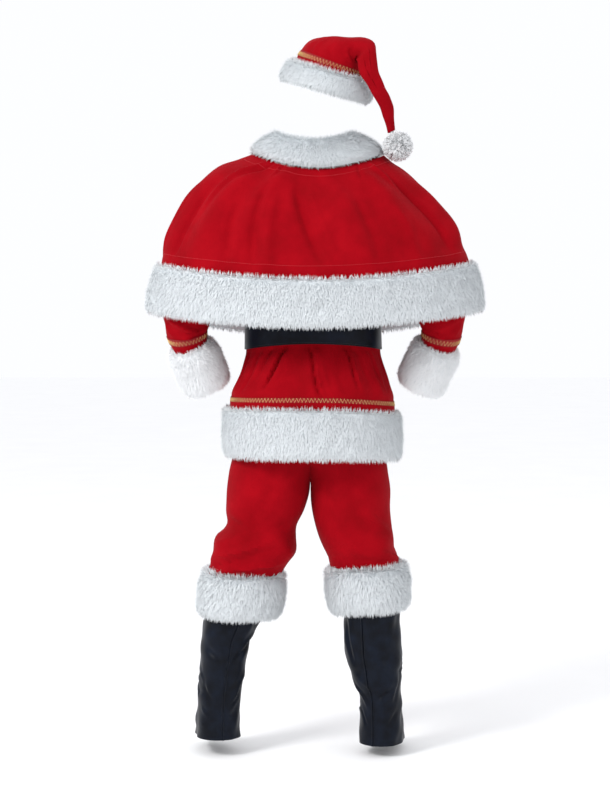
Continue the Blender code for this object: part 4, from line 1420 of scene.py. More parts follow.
class Workshop:
    """The finishes, the pile and the sewing that all sub-assemblies share, and the hand-over of pieces.

    The bands' plush is painted greyer where the strong key light falls on them; the cuffs and the pompom, which take
    less light, have a second copy of the pile painted whiter.
    """

    def __init__(self) -> None:
        """Makes the shared materials and trees."""
        self.velour = Velour().material()
        self.leather_cloth = LeatherCloth().material()
        self.elastic = Elastic().material()
        self.brass = Brass().material()
        self.gold = Yarn("gold_thread", "#FFE09A", "#D8AC5C", 0.1, 0.5).material()
        self.tape = Yarn("red_braid_tape", "#8E000C", "#7C0009", 0.0, 0.85).material()
        self.red_thread = Yarn("red_sewing_thread", "#C81E2C", "#8E0A14", 0.0, 0.6).material()
        self.black_thread = Yarn("black_sewing_thread", "#23262C", "#0C0E12", 0.0, 0.6).material()
        # Plush of the bands, in colours painted greyer to offset the strong key light on them.
        self.pile = Pile(Plush().material())
        # Copy of the plush painted whiter, for the cuffs and the pompom, which take less light.
        self.fresh_pile = Pile(Plush("fresh_white_plush", "#EDF0F2", "#FCFDFE").material())
        self.sewing = Sewing()

    def hand_over(
        self, piece: Object, slot: Slot, replaces: Sequence[str] = (), material: Material | None = None
    ) -> Object:
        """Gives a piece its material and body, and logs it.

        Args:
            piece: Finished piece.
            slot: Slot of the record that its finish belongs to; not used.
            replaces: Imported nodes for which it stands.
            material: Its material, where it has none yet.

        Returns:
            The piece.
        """
        if material is not None:
            piece.data.materials.clear()
            piece.data.materials.append(material)
        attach(piece, "root")
        if replaces:
            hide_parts(*replaces)
        LOG.info("%s: %d faces", piece.name, len(piece.data.polygons))
        return piece

    def band(self, piece: Object, replaces: str, fill: float = 0.7) -> None:
        """Hands over a plush piece."""
        self.hand_over(piece, Slot.PLUSH, [replaces])

    def velour_sheet(
        self, panel: Object, node: str, cut: tuple[float, float], rests_on: Sequence[str],
        share: float | None = None, held: Held = Held.HUNG, with_pieces: Sequence[Object] = (),
    ) -> None:
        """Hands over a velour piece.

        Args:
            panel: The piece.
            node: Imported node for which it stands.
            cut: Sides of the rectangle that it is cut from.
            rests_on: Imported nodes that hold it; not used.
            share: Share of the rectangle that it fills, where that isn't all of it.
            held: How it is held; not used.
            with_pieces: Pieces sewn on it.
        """
        self.hand_over(panel, Slot.VELOUR, [node], self.velour)
        more: dict[str, Any] = {} if share is None else {"area": share * cut[0] * cut[1]}
        if with_pieces:
            more["with_pieces"] = with_pieces

    def braid(
        self, name: str, form: Form, angles: np.ndarray, rows: tuple[float, float], closed: bool, node: str,
        cut: tuple[float, float],
    ) -> None:
        """A zigzag braid round a form: a red tape, a swinging gold thread and two red edges.

        Args:
            name: Start of the pieces' names.
            form: Surface on which it is sewn.
            angles: Its columns.
            rows: Levels of its upper and lower edge.
            closed: Whether it runs all the way round.
            node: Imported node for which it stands.
            cut: Length and height of the tape.
        """
        top, bottom = rows
        middle = (top + bottom) / 2.0
        levels = np.linspace(top + 0.12 * (bottom - top), bottom - 0.12 * (bottom - top), 4)
        tape = wall(f"{name}_tape", form, angles, levels, outer=0.0009, thickness=0.0006, closed=closed)
        self.hand_over(tape, Slot.BRAID, [node], self.tape)
        height = cut[1]
        threads = []
        zigzag = self.sewing.line(f"{name}_zigzag", form, angles, np.array(middle), 0.0009, closed)
        threads.append(self.sewing.thread(zigzag, self.gold, 0.0045, 0.42 * height, 0.00068))
        for word, level in (("upper", levels[0]), ("lower", levels[-1])):
            edge = self.sewing.line(f"{name}_{word}_edge", form, angles, np.array(level), 0.0009, closed)
            threads.append(self.sewing.thread(edge, self.tape, 0.006, 0.0, 0.0006))
        for thread in threads:
            self.hand_over(thread, Slot.BRAID)

    def topstitch(self, name: str, form: Form, angles: np.ndarray, level: float) -> Object:
        """A row of red topstitching round a form.

        Args:
            name: Name of the piece.
            form: Surface on which it is sewn.
            angles: Its columns.
            level: Its level.

        Returns:
            The row.
        """
        line = self.sewing.line(name, form, angles, np.array(level), 0.0002, False)
        row = self.sewing.stitches(line, self.red_thread, (0.0036, 0.0011, 0.0008))
        return self.hand_over(row, Slot.VELOUR)

    def clear(self) -> None:
        """Removes what isn't part of the suit."""
        self.pile.clear()
        self.fresh_pile.clear()
        self.sewing.clear()


TORSO_ROWS = table(
    Ring,
    (0.082, 0.082, 0.072, 0.078, 1.546, 1.546, 1.526, 1.5, 0.0, -0.008),
    (0.12, 0.12, 0.094, 0.094, 1.527, 1.527, 1.494, 1.462, 0.0, -0.006),
    (0.165, 0.165, 0.112, 0.108, 1.5, 1.5, 1.456, 1.425, 0.0, -0.004),
    (0.193, 0.193, 0.124, 0.12, 1.462, 1.462, 1.41, 1.385, 0.0, 0.0),
    (0.197, 0.197, 0.13, 0.128, 1.405, 1.405, 1.365, 1.345, 0.0, 0.0),
    (0.193, 0.193, 0.13, 0.132, 1.335, 1.335, 1.305, 1.29, 0.0, 0.0),
    (0.188, 0.188, 0.128, 0.135, 1.24, 1.24, 1.23, 1.22, 0.0, 0.0),
    (0.181, 0.181, 0.125, 0.133, 1.16, 1.16, 1.165, 1.15, -0.002, 0.0),
    (0.1705, 0.1705, 0.121, 0.129, 1.106, 1.106, 1.121, 1.092, -0.002, 0.0),
    (0.1695, 0.1695, 0.12, 0.128, 1.066, 1.066, 1.081, 1.052, -0.002, 0.0),
    (0.1695, 0.1695, 0.12, 0.128, 1.028, 1.028, 1.043, 1.014, -0.002, 0.0),
    (0.1725, 0.1735, 0.127, 0.134, 1.006, 1.004, 1.018, 0.996, -0.002, 0.0),
    (0.1845, 0.185, 0.143, 0.148, 0.965, 0.962, 0.97, 0.96, -0.002, 0.0),
    (0.2035, 0.2, 0.158, 0.162, 0.926, 0.916, 0.928, 0.923, -0.002, 0.0),
    (0.207, 0.203, 0.162, 0.166, 0.91, 0.898, 0.913, 0.908, -0.002, 0.0),
    (0.2095, 0.205, 0.165, 0.169, 0.896, 0.884, 0.899, 0.894, -0.002, 0.0),
    (0.2115, 0.2065, 0.167, 0.171, 0.883, 0.87, 0.886, 0.882, -0.002, 0.0),
    (0.2125, 0.208, 0.171, 0.174, 0.757, 0.746, 0.756, 0.754, -0.002, 0.0),
)
TORSO_FOLDS = table(
    Fold,
    (268.0, 8.0, 0.007, 10.0, 13.8, 7.0),
    (246.0, 8.0, 0.008, 10.0, 14.0, -12.0),
    (296.0, 8.0, 0.007, 10.0, 13.8, 10.0),
    (226.0, 8.0, 0.005, 10.0, 14.0, -6.0),
    (320.0, 8.0, 0.006, 10.0, 14.0, 6.0),
    (200.0, 9.0, 0.004, 10.0, 14.0, -3.0),
    (342.0, 9.0, 0.004, 10.0, 14.0, 3.0),
    (150.0, 9.0, 0.006, 10.0, 14.0, -5.0),
    (118.0, 9.0, 0.006, 10.0, 14.0, -4.0),
    (62.0, 9.0, 0.006, 10.0, 14.0, 4.0),
    (30.0, 9.0, 0.006, 10.0, 14.0, 5.0),
)
PLEATS = table(
    Crease,
    (266.0, 9.6, 278.0, 14.6, 0.0055, -0.0125, 0.6),
    (270.0, 9.6, 284.0, 13.6, 0.007, 0.0045, 0.3),
    (249.0, 9.6, 231.0, 13.4, 0.005, -0.01, -0.6),
    (296.0, 9.6, 305.0, 13.4, 0.005, -0.01, 0.6),
    (286.0, 9.6, 292.0, 12.2, 0.005, -0.0035, 0.5),
    (237.0, 9.6, 220.0, 12.8, 0.006, -0.005, -0.5),
    (305.0, 9.9, 316.0, 12.8, 0.006, -0.0045, 0.5),
    (222.0, 9.9, 210.0, 13.4, 0.007, -0.005, -0.5),
    (320.0, 9.9, 330.0, 13.4, 0.007, -0.005, 0.5),
    (204.0, 9.9, 198.0, 13.0, 0.007, -0.004, -0.5),
    (338.0, 9.9, 343.0, 13.0, 0.007, -0.004, 0.5),
    (165.0, 9.9, 160.0, 13.2, 0.007, -0.005, -0.5),
    (134.0, 9.9, 128.0, 13.2, 0.007, -0.0055, -0.5),
    (106.0, 9.9, 102.0, 13.2, 0.0065, -0.005, -0.5),
    (74.0, 9.9, 78.0, 13.2, 0.0065, -0.005, 0.5),
    (46.0, 9.9, 52.0, 13.2, 0.007, -0.0055, 0.5),
    (15.0, 9.9, 20.0, 13.2, 0.007, -0.005, 0.5),
    (248.0, 11.4, 229.0, 13.9, 0.009, 0.004, 0.6),
    (284.0, 11.4, 293.0, 14.2, 0.01, 0.004, 0.4),
)
SLEEVE_ROWS = table(
    SweepRow,
    (0.12, 0.004, 1.414, 0.088, 0.08),
    (0.172, 0.0, 1.402, 0.087, 0.079),
    (0.218, -0.01, 1.368, 0.083, 0.077),
    (0.256, -0.024, 1.312, 0.077, 0.073),
    (0.287, -0.039, 1.246, 0.07, 0.068),
    (0.308, -0.052, 1.184, 0.063, 0.063),
    (0.318, -0.06, 1.136, 0.057, 0.059),
    (0.32, -0.058, 1.098, 0.053, 0.055),
    (0.318, -0.052, 1.071, 0.05, 0.051),
    (0.3145, -0.046, 1.053, 0.047, 0.048),
    (0.31, -0.04, 1.038, 0.044, 0.045),
    (0.298, -0.026, 1.006, 0.046, 0.048),
    (0.266, 0.006, 0.932, 0.05, 0.051),
)
SLEEVE_FOLDS = table(
    Fold,
    (0.0, 55.0, 0.004, 5.6, 7.2, 30.0),
    (200.0, 50.0, 0.005, 6.0, 7.8, -30.0),
    (100.0, 60.0, 0.004, 3.6, 5.6, 20.0),
)
SLEEVE_CREASES = table(
    Crease,
    (330.0, 6.6, 230.0, 7.8, 0.007, 0.0045, 0.7),
    (300.0, 5.4, 210.0, 6.9, 0.008, -0.0045, 0.6),
    (220.0, 7.4, 300.0, 8.2, 0.006, 0.0035, 0.7),
    *scattered(41, 14, (0.0, 360.0), (4.0, 7.8), 1.2, 0.007, 0.003, 60.0),
)


@dataclass
class Jacket:
    """The jacket: back and two fronts, closing strip, sleeves, cuffs, hem band and braids."""

    shop: Workshop
    half_width: float = 0.17
    step: float = 0.0062
    upper_step: float = 0.011
    column: float = 1.6
    belt_level: float = 10.0
    strip_top: float = 2.0
    strip_half_angle: float = 9.0
    hem: float = 16.06
    hem_end: float = 17.0
    hem_rise: float = 0.130
    hem_depth: float = 0.021
    cuff_depth: float = 0.019
    sleeve_end: float = 10.0
    back_cut: tuple[float, float] = (0.62, 0.62)
    front_cut: tuple[float, float] = (0.31, 0.60)
    sleeve_cut: tuple[float, float] = (0.52, 0.46)
    strip_cut: tuple[float, float] = (0.055, 0.59)
    hem_braid_cut: tuple[float, float] = (1.22, 0.0125)
    cuff_braid_cut: tuple[float, float] = (0.31, 0.015)

    def __post_init__(self) -> None:
        """Makes the forms."""
        self.form = BodyForm(TORSO_ROWS, TORSO_FOLDS, PLEATS, (0.0032, 0.032), 0.06, 0.0008)
        self.plain_form = BodyForm(TORSO_ROWS, TORSO_FOLDS)

    def panels(self) -> list[Object]:
        """Builds the three panels and the strip behind the closing edges."""
        upper = self.form.even_levels(0.0, self.belt_level, self.upper_step)
        lower = self.form.even_levels(self.belt_level, self.hem - SEAM_GAP / self.hem_rise, self.step)
        levels = np.concatenate((upper, lower[1:]))
        pieces = []
        for word, (start, end) in PANEL_SPANS.items():
            angles = panel_angles(start, end, self.column, self.half_width)
            pieces.append(wall(f"jacket_{word}_velour", self.form, angles, levels))
        strip_angles = np.linspace(FRONT - self.strip_half_angle, FRONT + self.strip_half_angle, 13)
        strip_levels = levels[levels >= self.strip_top]
        strip = wall(
            "jacket_closing_strip_velour", self.form, strip_angles, strip_levels, -CLOTH - SEAM_GAP, THIN_CLOTH
        )
        self.shop.velour_sheet(strip, "jacket_closing_strip", self.strip_cut, ["jacket_front_left"])
        return pieces

    def cutter(self, name: str, form: Form, levels: Sequence[float], out: float) -> Object:
        """A closed body inside a form, to cut another piece with.

        Args:
            name: Name of the body.
            form: Form that it fills.
            levels: Levels of its rings.
            out: How far it lies out of the form.

        Returns:
            The body.
        """
        columns = 48
        level, angle = np.meshgrid(np.array(levels, float), round_angles(columns), indexing="ij")
        rings = form.point(angle, level) + out * form.normal(angle, level)
        places = np.concatenate((rings.reshape(-1, 3), rings[:1].mean(axis=1), rings[-1:].mean(axis=1)))
        faces = grid_quads(len(levels), columns, True).tolist()
        top = len(levels) * columns
        last = top - columns
        for k in range(columns):
            after = (k + 1) % columns
            faces += [(k, after, top), (last + after, last + k, top + 1)]
        mesh = bpy.data.meshes.new(name)
        mesh.from_pydata(places.tolist(), [], faces)
        return new_object(name, mesh)

    @staticmethod
    def cut(piece: Object, cutter: Object) -> None:
        """Cuts one closed piece with another and keeps the result.

        Args:
            piece: Piece that is cut.
            cutter: Body that is taken away.
        """
        boolean = piece.modifiers.new("cut", "BOOLEAN")
        boolean.operation = "DIFFERENCE"
        boolean.solver = "MANIFOLD"
        boolean.object = cutter
        keep_result(piece, boolean)

    def build(self) -> None:
        """Builds and dresses the jacket."""
        shop = self.shop
        panels = self.panels()
        filled = self.cutter("torso_inside", self.plain_form, np.arange(1.0, 10.0), SEAM_GAP)
        for side, word in ((-1, "left"), (1, "right")):
            folds = SLEEVE_FOLDS if side > 0 else tuple(fold.mirrored() for fold in SLEEVE_FOLDS)
            creases = SLEEVE_CREASES if side > 0 else tuple(crease.mirrored() for crease in SLEEVE_CREASES)
            form = SleeveForm(SLEEVE_ROWS, folds, creases, (0.001, 0.045), 0.05, 0.0009, side)
            levels = form.even_levels(0.0, self.sleeve_end, 0.006)
            sleeve = wall(f"sleeve_{word}_velour", form, round_angles(64), levels, closed=True)
            bore = self.cutter(f"arm_inside_{word}", form, np.arange(0.0, 6.0), -CLOTH)
            self.cut(sleeve, filled)
            for panel in panels:
                if f"front_{'right' if side < 0 else 'left'}" not in panel.name:
                    self.cut(panel, bore)
            bpy.data.objects.remove(bore, do_unlink=True)
            shop.velour_sheet(sleeve, f"sleeve_{word}", self.sleeve_cut, ["jacket_back"], 0.78)
            cuff = PlushBand(
                f"cuff_{word}_plush", self.cuff_depth, per_cm2=40.0, lock_width=0.0016, comb_top=0.4, comb_bottom=0.9
            ).build(
                shop.fresh_pile, form, round_angles(40), self.sleeve_end + 0.01, len(SLEEVE_ROWS) - 1.0, True,
                20 + side,
            )
            shop.band(cuff, f"cuff_{word}")
            shop.braid(
                f"cuff_{word}_braid", form, round_angles(72), (8.0, 9.0), True, f"cuff_braid_{word}",
                self.cuff_braid_cut,
            )
        bpy.data.objects.remove(filled, do_unlink=True)
        for panel in panels:
            node = panel.name.replace("_velour", "")
            cut = self.back_cut if "back" in node else self.front_cut
            shop.velour_sheet(panel, node, cut, ["belt"], 0.85)
        opening = panel_angles(FRONT, FRONT + 360.0, 2.5, self.half_width)
        hem = PlushBand("jacket_hem_plush", self.hem_depth, per_cm2=28.0, lock_width=0.0015).build(
            shop.pile, self.form, opening, self.hem, self.hem_end, False, 3
        )
        shop.band(hem, "jacket_hem_band")
        fine = panel_angles(FRONT, FRONT + 360.0, 1.5, self.half_width)
        shop.braid("jacket_hem", self.form, fine, (14.0, 15.0), False, "jacket_hem_braid", self.hem_braid_cut)


@dataclass
class Belt:
    """The belt of leather cloth, its plain square buckle and the trousers' elastic waistband under it."""

    shop: Workshop
    half_width: float = 0.17
    thickness: float = 0.0028
    buckle_half_width: float = 0.040
    buckle_bar: float = 0.011
    buckle_thickness: float = 0.004
    belt_cut: tuple[float, float] = (0.98, 0.080)
    waistband_cut: tuple[float, float] = (0.95, 0.038)

    def build(self) -> None:
        """Builds and dresses the belt, the buckle and the waistband."""
        shop = self.shop
        form = BodyForm(TORSO_ROWS, crumple_size=0.09, crumple_height=0.0008)
        opening = panel_angles(FRONT, FRONT + 360.0, 2.0, self.half_width)
        levels = np.linspace(8.0, 10.0, 15)
        belt = wall("belt_leathercloth", form, opening, levels, self.thickness + SEAM_GAP, self.thickness)
        shop.hand_over(belt, Slot.LEATHER_CLOTH, ["belt"], shop.leather_cloth)
        outside = self.thickness + SEAM_GAP
        for word, level in (("upper", 8.12), ("lower", 9.88)):
            line = shop.sewing.line(f"belt_{word}_stitches", form, opening, np.array(level), outside, False)
            row = shop.sewing.stitches(line, shop.black_thread, (0.0036, 0.0009, 0.0007))
            shop.hand_over(row, Slot.LEATHER_CLOTH)
        band = wall(
            "trouser_waistband_elastic", BodyForm(TORSO_ROWS), round_angles(120), np.linspace(9.0, 10.0, 8),
            -CLOTH - 2.0 * SEAM_GAP - THIN_CLOTH, self.thickness, True,
        )
        shop.hand_over(band, Slot.ELASTIC, ["trouser_waistband"], shop.elastic)
        self.build_buckle(BodyForm(TORSO_ROWS))

    def build_buckle(self, form: BodyForm) -> None:
        """Builds a square cast frame with rounded edges where the strap's ends meet.

        Args:
            form: Surface on which the belt lies.
        """
        top = form.point(FRONT, 8.0)
        bottom = form.point(FRONT, 10.0)
        lean = Vector(form.normal(FRONT, 9.0))
        up = Vector((1.0, 0.0, 0.0)).cross(lean).normalized()
        half_height = float(top[2] - bottom[2]) / 2.0 + self.buckle_bar * 0.5
        clear = self.thickness + 2.0 * SEAM_GAP + self.buckle_thickness / 2.0
        middle = Vector((top + bottom) / 2.0) + clear * lean
        shape = bmesh.new()
        corners = []
        for inset in (0.0, self.buckle_bar):
            for out in (-0.5, 0.5):
                ring = []
                for across, along in ((-1, -1), (1, -1), (1, 1), (-1, 1)):
                    place = middle + across * (self.buckle_half_width - inset) * Vector((1.0, 0.0, 0.0))
                    place = place + along * (half_height - inset) * up + out * self.buckle_thickness * lean
                    ring.append(shape.verts.new(place))
                corners.append(ring)
        for first, second in ((0, 1), (1, 3), (3, 2), (2, 0)):
            here = corners[first]
            there = corners[second]
            for k in range(4):
                after = (k + 1) % 4
                shape.faces.new((here[k], here[after], there[after], there[k]))
        bmesh.ops.recalc_face_normals(shape, faces=shape.faces)
        bmesh.ops.bevel(
            shape, geom=shape.edges[:], offset=0.0012, segments=3, profile=0.5, affect="EDGES", clamp_overlap=True
        )
        mesh = mesh_from(shape, "belt_buckle_brass")
        mesh.set_sharp_from_angle(angle=math.radians(40.0))
        buckle = new_object("belt_buckle_brass", mesh)
        self.shop.hand_over(buckle, Slot.METAL, ["belt_buckle"], self.shop.brass)


CAPE_ROWS = table(
    Ring,
    (0.163, 0.167, 0.128, 0.112, 1.516, 1.514, 1.47, 1.445, 0.008, -0.004),
    (0.196, 0.193, 0.145, 0.13, 1.503, 1.497, 1.447, 1.42, 0.004, -0.004),
    (0.243, 0.226, 0.16, 0.148, 1.485, 1.478, 1.422, 1.395, 0.0, -0.002),
    (0.298, 0.272, 0.174, 0.164, 1.436, 1.437, 1.388, 1.36, 0.0, 0.0),
    (0.336, 0.32, 0.188, 0.178, 1.377, 1.388, 1.344, 1.318, 0.0, 0.0),
    (0.362, 0.358, 0.201, 0.192, 1.325, 1.338, 1.295, 1.27, 0.0, 0.0),
    (0.376, 0.374, 0.213, 0.205, 1.28, 1.288, 1.247, 1.222, 0.0, 0.0),
    (0.386, 0.39, 0.222, 0.216, 1.244, 1.248, 1.204, 1.18, 0.0, 0.0),
    (0.411, 0.419, 0.233, 0.229, 1.117, 1.122, 1.079, 1.055, 0.0, 0.0),
)
CAPE_FOLDS = table(
    Fold,
    (247.0, 6.0, 0.014, 0.0, 5.5, -3.0),
    (259.0, 5.0, -0.01, 0.6, 6.6, 16.0),
    (282.0, 6.5, 0.012, 1.2, 7.0, 8.0),
    (229.0, 7.0, 0.013, 0.8, 6.6, -6.0),
    (214.0, 6.5, -0.009, 1.6, 7.0, -5.0),
    (304.0, 7.0, 0.014, 0.3, 6.0, 8.0),
    (324.0, 7.0, -0.009, 1.2, 7.0, 5.0),
    (198.0, 7.0, 0.007, 2.0, 7.0, -4.0),
    (341.0, 7.0, 0.007, 2.0, 7.0, 2.0),
    (150.0, 9.0, 0.012, 1.0, 7.0, 0.0),
    (118.0, 8.0, 0.012, 1.0, 7.0, 0.0),
    (62.0, 8.0, 0.012, 1.0, 7.0, 0.0),
    (30.0, 9.0, 0.012, 1.0, 7.0, 0.0),
)
CAPE_CREASES = table(
    Crease,
    (245.0, 1.6, 248.5, 7.2, 0.012, -0.013, 0.35),
    (252.0, 2.2, 254.0, 7.2, 0.013, 0.01, 0.3),
    (258.5, 1.4, 276.0, 6.9, 0.011, -0.012, 0.4),
    (265.0, 1.4, 283.0, 6.9, 0.012, 0.006, 0.4),
    (236.0, 3.0, 238.0, 7.2, 0.012, -0.009, 0.4),
    (226.0, 0.0, 214.0, 4.6, 0.014, 0.011, 0.5),
    (233.0, 0.0, 224.0, 2.4, 0.009, -0.009, 0.4),
    (239.0, 0.0, 243.0, 1.8, 0.007, 0.006, 0.5),
    (306.0, 0.0, 300.0, 2.2, 0.008, -0.007, 0.4),
    (316.0, 0.0, 322.0, 3.0, 0.012, 0.009, 0.3),
    (322.0, 1.6, 334.0, 6.6, 0.014, -0.01, 0.4),
    (291.0, 2.6, 297.0, 7.2, 0.014, -0.008, 0.4),
    (306.0, 3.0, 313.0, 7.2, 0.016, 0.007, 0.3),
    (212.0, 2.4, 206.0, 7.2, 0.012, -0.008, 0.4),
    (196.0, 2.4, 192.0, 7.2, 0.014, 0.006, 0.4),
)
COLLAR_ROWS = table(
    Ring,
    (0.0857, 0.0857, 0.0757, 0.0817, 1.56, 1.56, 1.54, 1.512, 0.0, -0.008),
    (0.122, 0.124, 0.101, 0.099, 1.5415, 1.5405, 1.508, 1.48, 0.003, -0.006),
    (0.1625, 0.1665, 0.1275, 0.1115, 1.5168, 1.5148, 1.4708, 1.4458, 0.008, -0.004),
)


@dataclass
class Cape:
    """The shoulder cape: back and two fronts, neck tab, plush collar and plush hem band."""

    shop: Workshop
    half_width: float = 0.30
    step: float = 0.007
    column: float = 1.15
    hem: float = 7.06
    hem_end: float = 8.0
    hem_rise: float = 0.125
    tab_half_angle: float = 6.43
    hem_depth: float = 0.021
    collar_depth: float = 0.024
    back_cut: tuple[float, float] = (1.02, 0.42)
    front_cut: tuple[float, float] = (0.52, 0.40)
    tab_cut: tuple[float, float] = (0.040, 0.034)

    def build(self) -> None:
        """Builds and dresses the cape."""
        shop = self.shop
        form = BodyForm(CAPE_ROWS, CAPE_FOLDS, CAPE_CREASES, (0.0055, 0.052), 0.10, 0.0012, 2.2)
        levels = form.even_levels(0.0, self.hem - SEAM_GAP / self.hem_rise, self.step)
        carriers = ["jacket_back", "sleeve_left", "sleeve_right"]
        for word, (start, end) in PANEL_SPANS.items():
            node = f"cape_{word}"
            angles = panel_angles(start, end, self.column, self.half_width)
            panel = wall(f"{node}_velour", form, angles, levels)
            stitches = [
                shop.topstitch(f"{node}_{edge}_stitches", form, angles, level)
                for edge, level in (("neck", 0.75), ("hem", 6.45))
            ]
            cut = self.back_cut if word == "back" else self.front_cut
            shop.velour_sheet(panel, node, cut, carriers, 0.61, Held.DRAPED, stitches)
        tab_angles = np.linspace(FRONT - self.tab_half_angle, FRONT + self.tab_half_angle, 9)
        tab = wall(
            "cape_neck_tab_velour", form, tab_angles, np.linspace(0.0, 1.0, 6), -CLOTH - SEAM_GAP, THIN_CLOTH
        )
        shop.velour_sheet(tab, "cape_neck_tab", self.tab_cut, ["cape_front_left"])
        opening = panel_angles(FRONT, FRONT + 360.0, 1.5, self.half_width)
        hem = PlushBand("cape_hem_plush", self.hem_depth, per_cm2=27.0, lock_width=0.0016).build(
            shop.pile, form, opening, self.hem, self.hem_end, False, 5
        )
        shop.band(hem, "cape_hem_band")
        collar_form = BodyForm(COLLAR_ROWS, power=2.2)
        opening = panel_angles(FRONT, FRONT + 360.0, 4.0, self.half_width / 2.0)
        collar = PlushBand("cape_collar_plush", self.collar_depth, per_cm2=37.0, comb_up=0.5).build(
            shop.pile, collar_form, opening, 0.0, len(COLLAR_ROWS) - 1.0, False, 6
        )
        shop.band(collar, "cape_collar")


def below_crotch(hip_x: float, *rows: Sequence[float]) -> tuple[LegRow, ...]:
    """Rows that the hips have no share in, from their heights and the leg's own four sizes."""
    return tuple(LegRow(height, 0.0, 0.0, -0.010, 0.0, hip_x, 0.130, 0.125, *leg) for height, *leg in rows)


WAIST_ROW = LegRow(1.0272, 0.015, -0.014, -0.002, 1.0, 0.1655, 0.1160, 0.1240, 0.100, 0.095, 0.110, 0.110)
LOW_WAIST_ROW = LegRow(0.985, 0.010, -0.010, -0.003, 1.0, 0.167, 0.120, 0.125, 0.100, 0.095, 0.110, 0.110)
HIP_ROW = LegRow(0.925, 0.005, -0.005, -0.004, 1.0, 0.180, 0.136, 0.132, 0.100, 0.095, 0.110, 0.110)
LEFT_LEG_ROWS = table(
    LegRow,
    WAIST_ROW,
    LOW_WAIST_ROW,
    HIP_ROW,
    (0.85, 0.0, 0.0, -0.006, 0.97, 0.19, 0.146, 0.136, 0.105, 0.095, 0.115, 0.112),
    (0.775, 0.0, 0.0, -0.008, 0.75, 0.195, 0.144, 0.134, 0.1055, 0.0965, 0.118, 0.112),
    (0.72, 0.0, 0.0, -0.009, 0.38, 0.208, 0.138, 0.13, 0.111, 0.1012, 0.116, 0.11),
    *below_crotch(
        0.21,
        (0.672, 0.1158, 0.105, 0.112, 0.108),
        (0.622, 0.1248, 0.099, 0.108, 0.106),
        (0.585, 0.132, 0.089, 0.101, 0.102),
        (0.552, 0.1475, 0.1025, 0.106, 0.106),
        (0.515, 0.151, 0.105, 0.109, 0.108),
        (0.488, 0.164, 0.099, 0.103, 0.102),
        (0.461, 0.1765, 0.094, 0.095, 0.095),
    ),
)
RIGHT_LEG_ROWS = table(
    LegRow,
    WAIST_ROW,
    LOW_WAIST_ROW,
    HIP_ROW,
    (0.85, 0.0, 0.0, -0.006, 0.97, 0.188, 0.146, 0.136, 0.1, 0.09, 0.115, 0.112),
    (0.775, 0.0, 0.0, -0.008, 0.75, 0.191, 0.144, 0.134, 0.09, 0.0968, 0.118, 0.112),
    (0.72, 0.0, 0.0, -0.009, 0.38, 0.194, 0.138, 0.13, 0.0903, 0.099, 0.116, 0.11),
    *below_crotch(
        0.195,
        (0.672, 0.0921, 0.1009, 0.112, 0.108),
        (0.622, 0.0943, 0.0992, 0.108, 0.106),
        (0.585, 0.0995, 0.0975, 0.103, 0.103),
        (0.552, 0.108, 0.0945, 0.103, 0.103),
        (0.523, 0.115, 0.0885, 0.101, 0.101),
        (0.506, 0.123, 0.088, 0.097, 0.097),
        (0.479, 0.13, 0.089, 0.089, 0.089),
    ),
)
LEG_FOLDS = table(
    Fold,
    (290.0, 14.0, 0.007, 8.0, 10.6, 40.0),
    (225.0, 14.0, 0.007, 8.6, 11.2, -30.0),
    (250.0, 12.0, -0.004, 6.5, 9.5, 20.0),
    (70.0, 16.0, 0.007, 8.0, 10.8, 30.0),
    (140.0, 16.0, 0.006, 8.4, 11.0, -25.0),
)
LEFT_LEG_CREASES = table(
    Crease,
    (205.0, 10.4, 305.0, 9.0, 0.01, 0.007, -0.7),
    (200.0, 11.2, 270.0, 9.9, 0.008, -0.006, 0.6),
    (215.0, 11.6, 340.0, 10.6, 0.008, 0.005, -0.7),
    (320.0, 3.2, 250.0, 8.0, 0.016, -0.006, 0.5),
    (200.0, 7.0, 270.0, 8.6, 0.012, -0.005, 0.6),
    *scattered(52, 10, (20.0, 340.0), (8.2, 11.2), -0.9, 0.008, 0.0035, 45.0),
)
RIGHT_LEG_CREASES = table(
    Crease,
    (110.0, 9.6, 190.0, 11.4, 0.01, 0.006, 0.7),
    (80.0, 10.8, 160.0, 11.2, 0.008, -0.005, 0.6),
    (60.0, 3.4, 130.0, 8.6, 0.018, -0.006, 0.5),
    (100.0, 6.4, 170.0, 9.0, 0.012, 0.0045, 0.6),
    *scattered(53, 10, (20.0, 340.0), (8.2, 11.2), 0.9, 0.008, 0.003, 45.0),
)
LEFT_LEG_BAND = table(
    Ring,
    (0.0845, 0.0845, 0.086, 0.086, 0.466, 0.459, 0.4605, 0.457, -0.1785, 0.0),
    (0.088, 0.088, 0.089, 0.089, 0.357, 0.35, 0.352, 0.349, -0.192, -0.004),
)
RIGHT_LEG_BAND = table(
    Ring,
    (0.083, 0.083, 0.085, 0.085, 0.467, 0.482, 0.4785, 0.475, 0.1325, 0.0),
    (0.0825, 0.0825, 0.086, 0.086, 0.358, 0.374, 0.369, 0.366, 0.1425, -0.004),
)


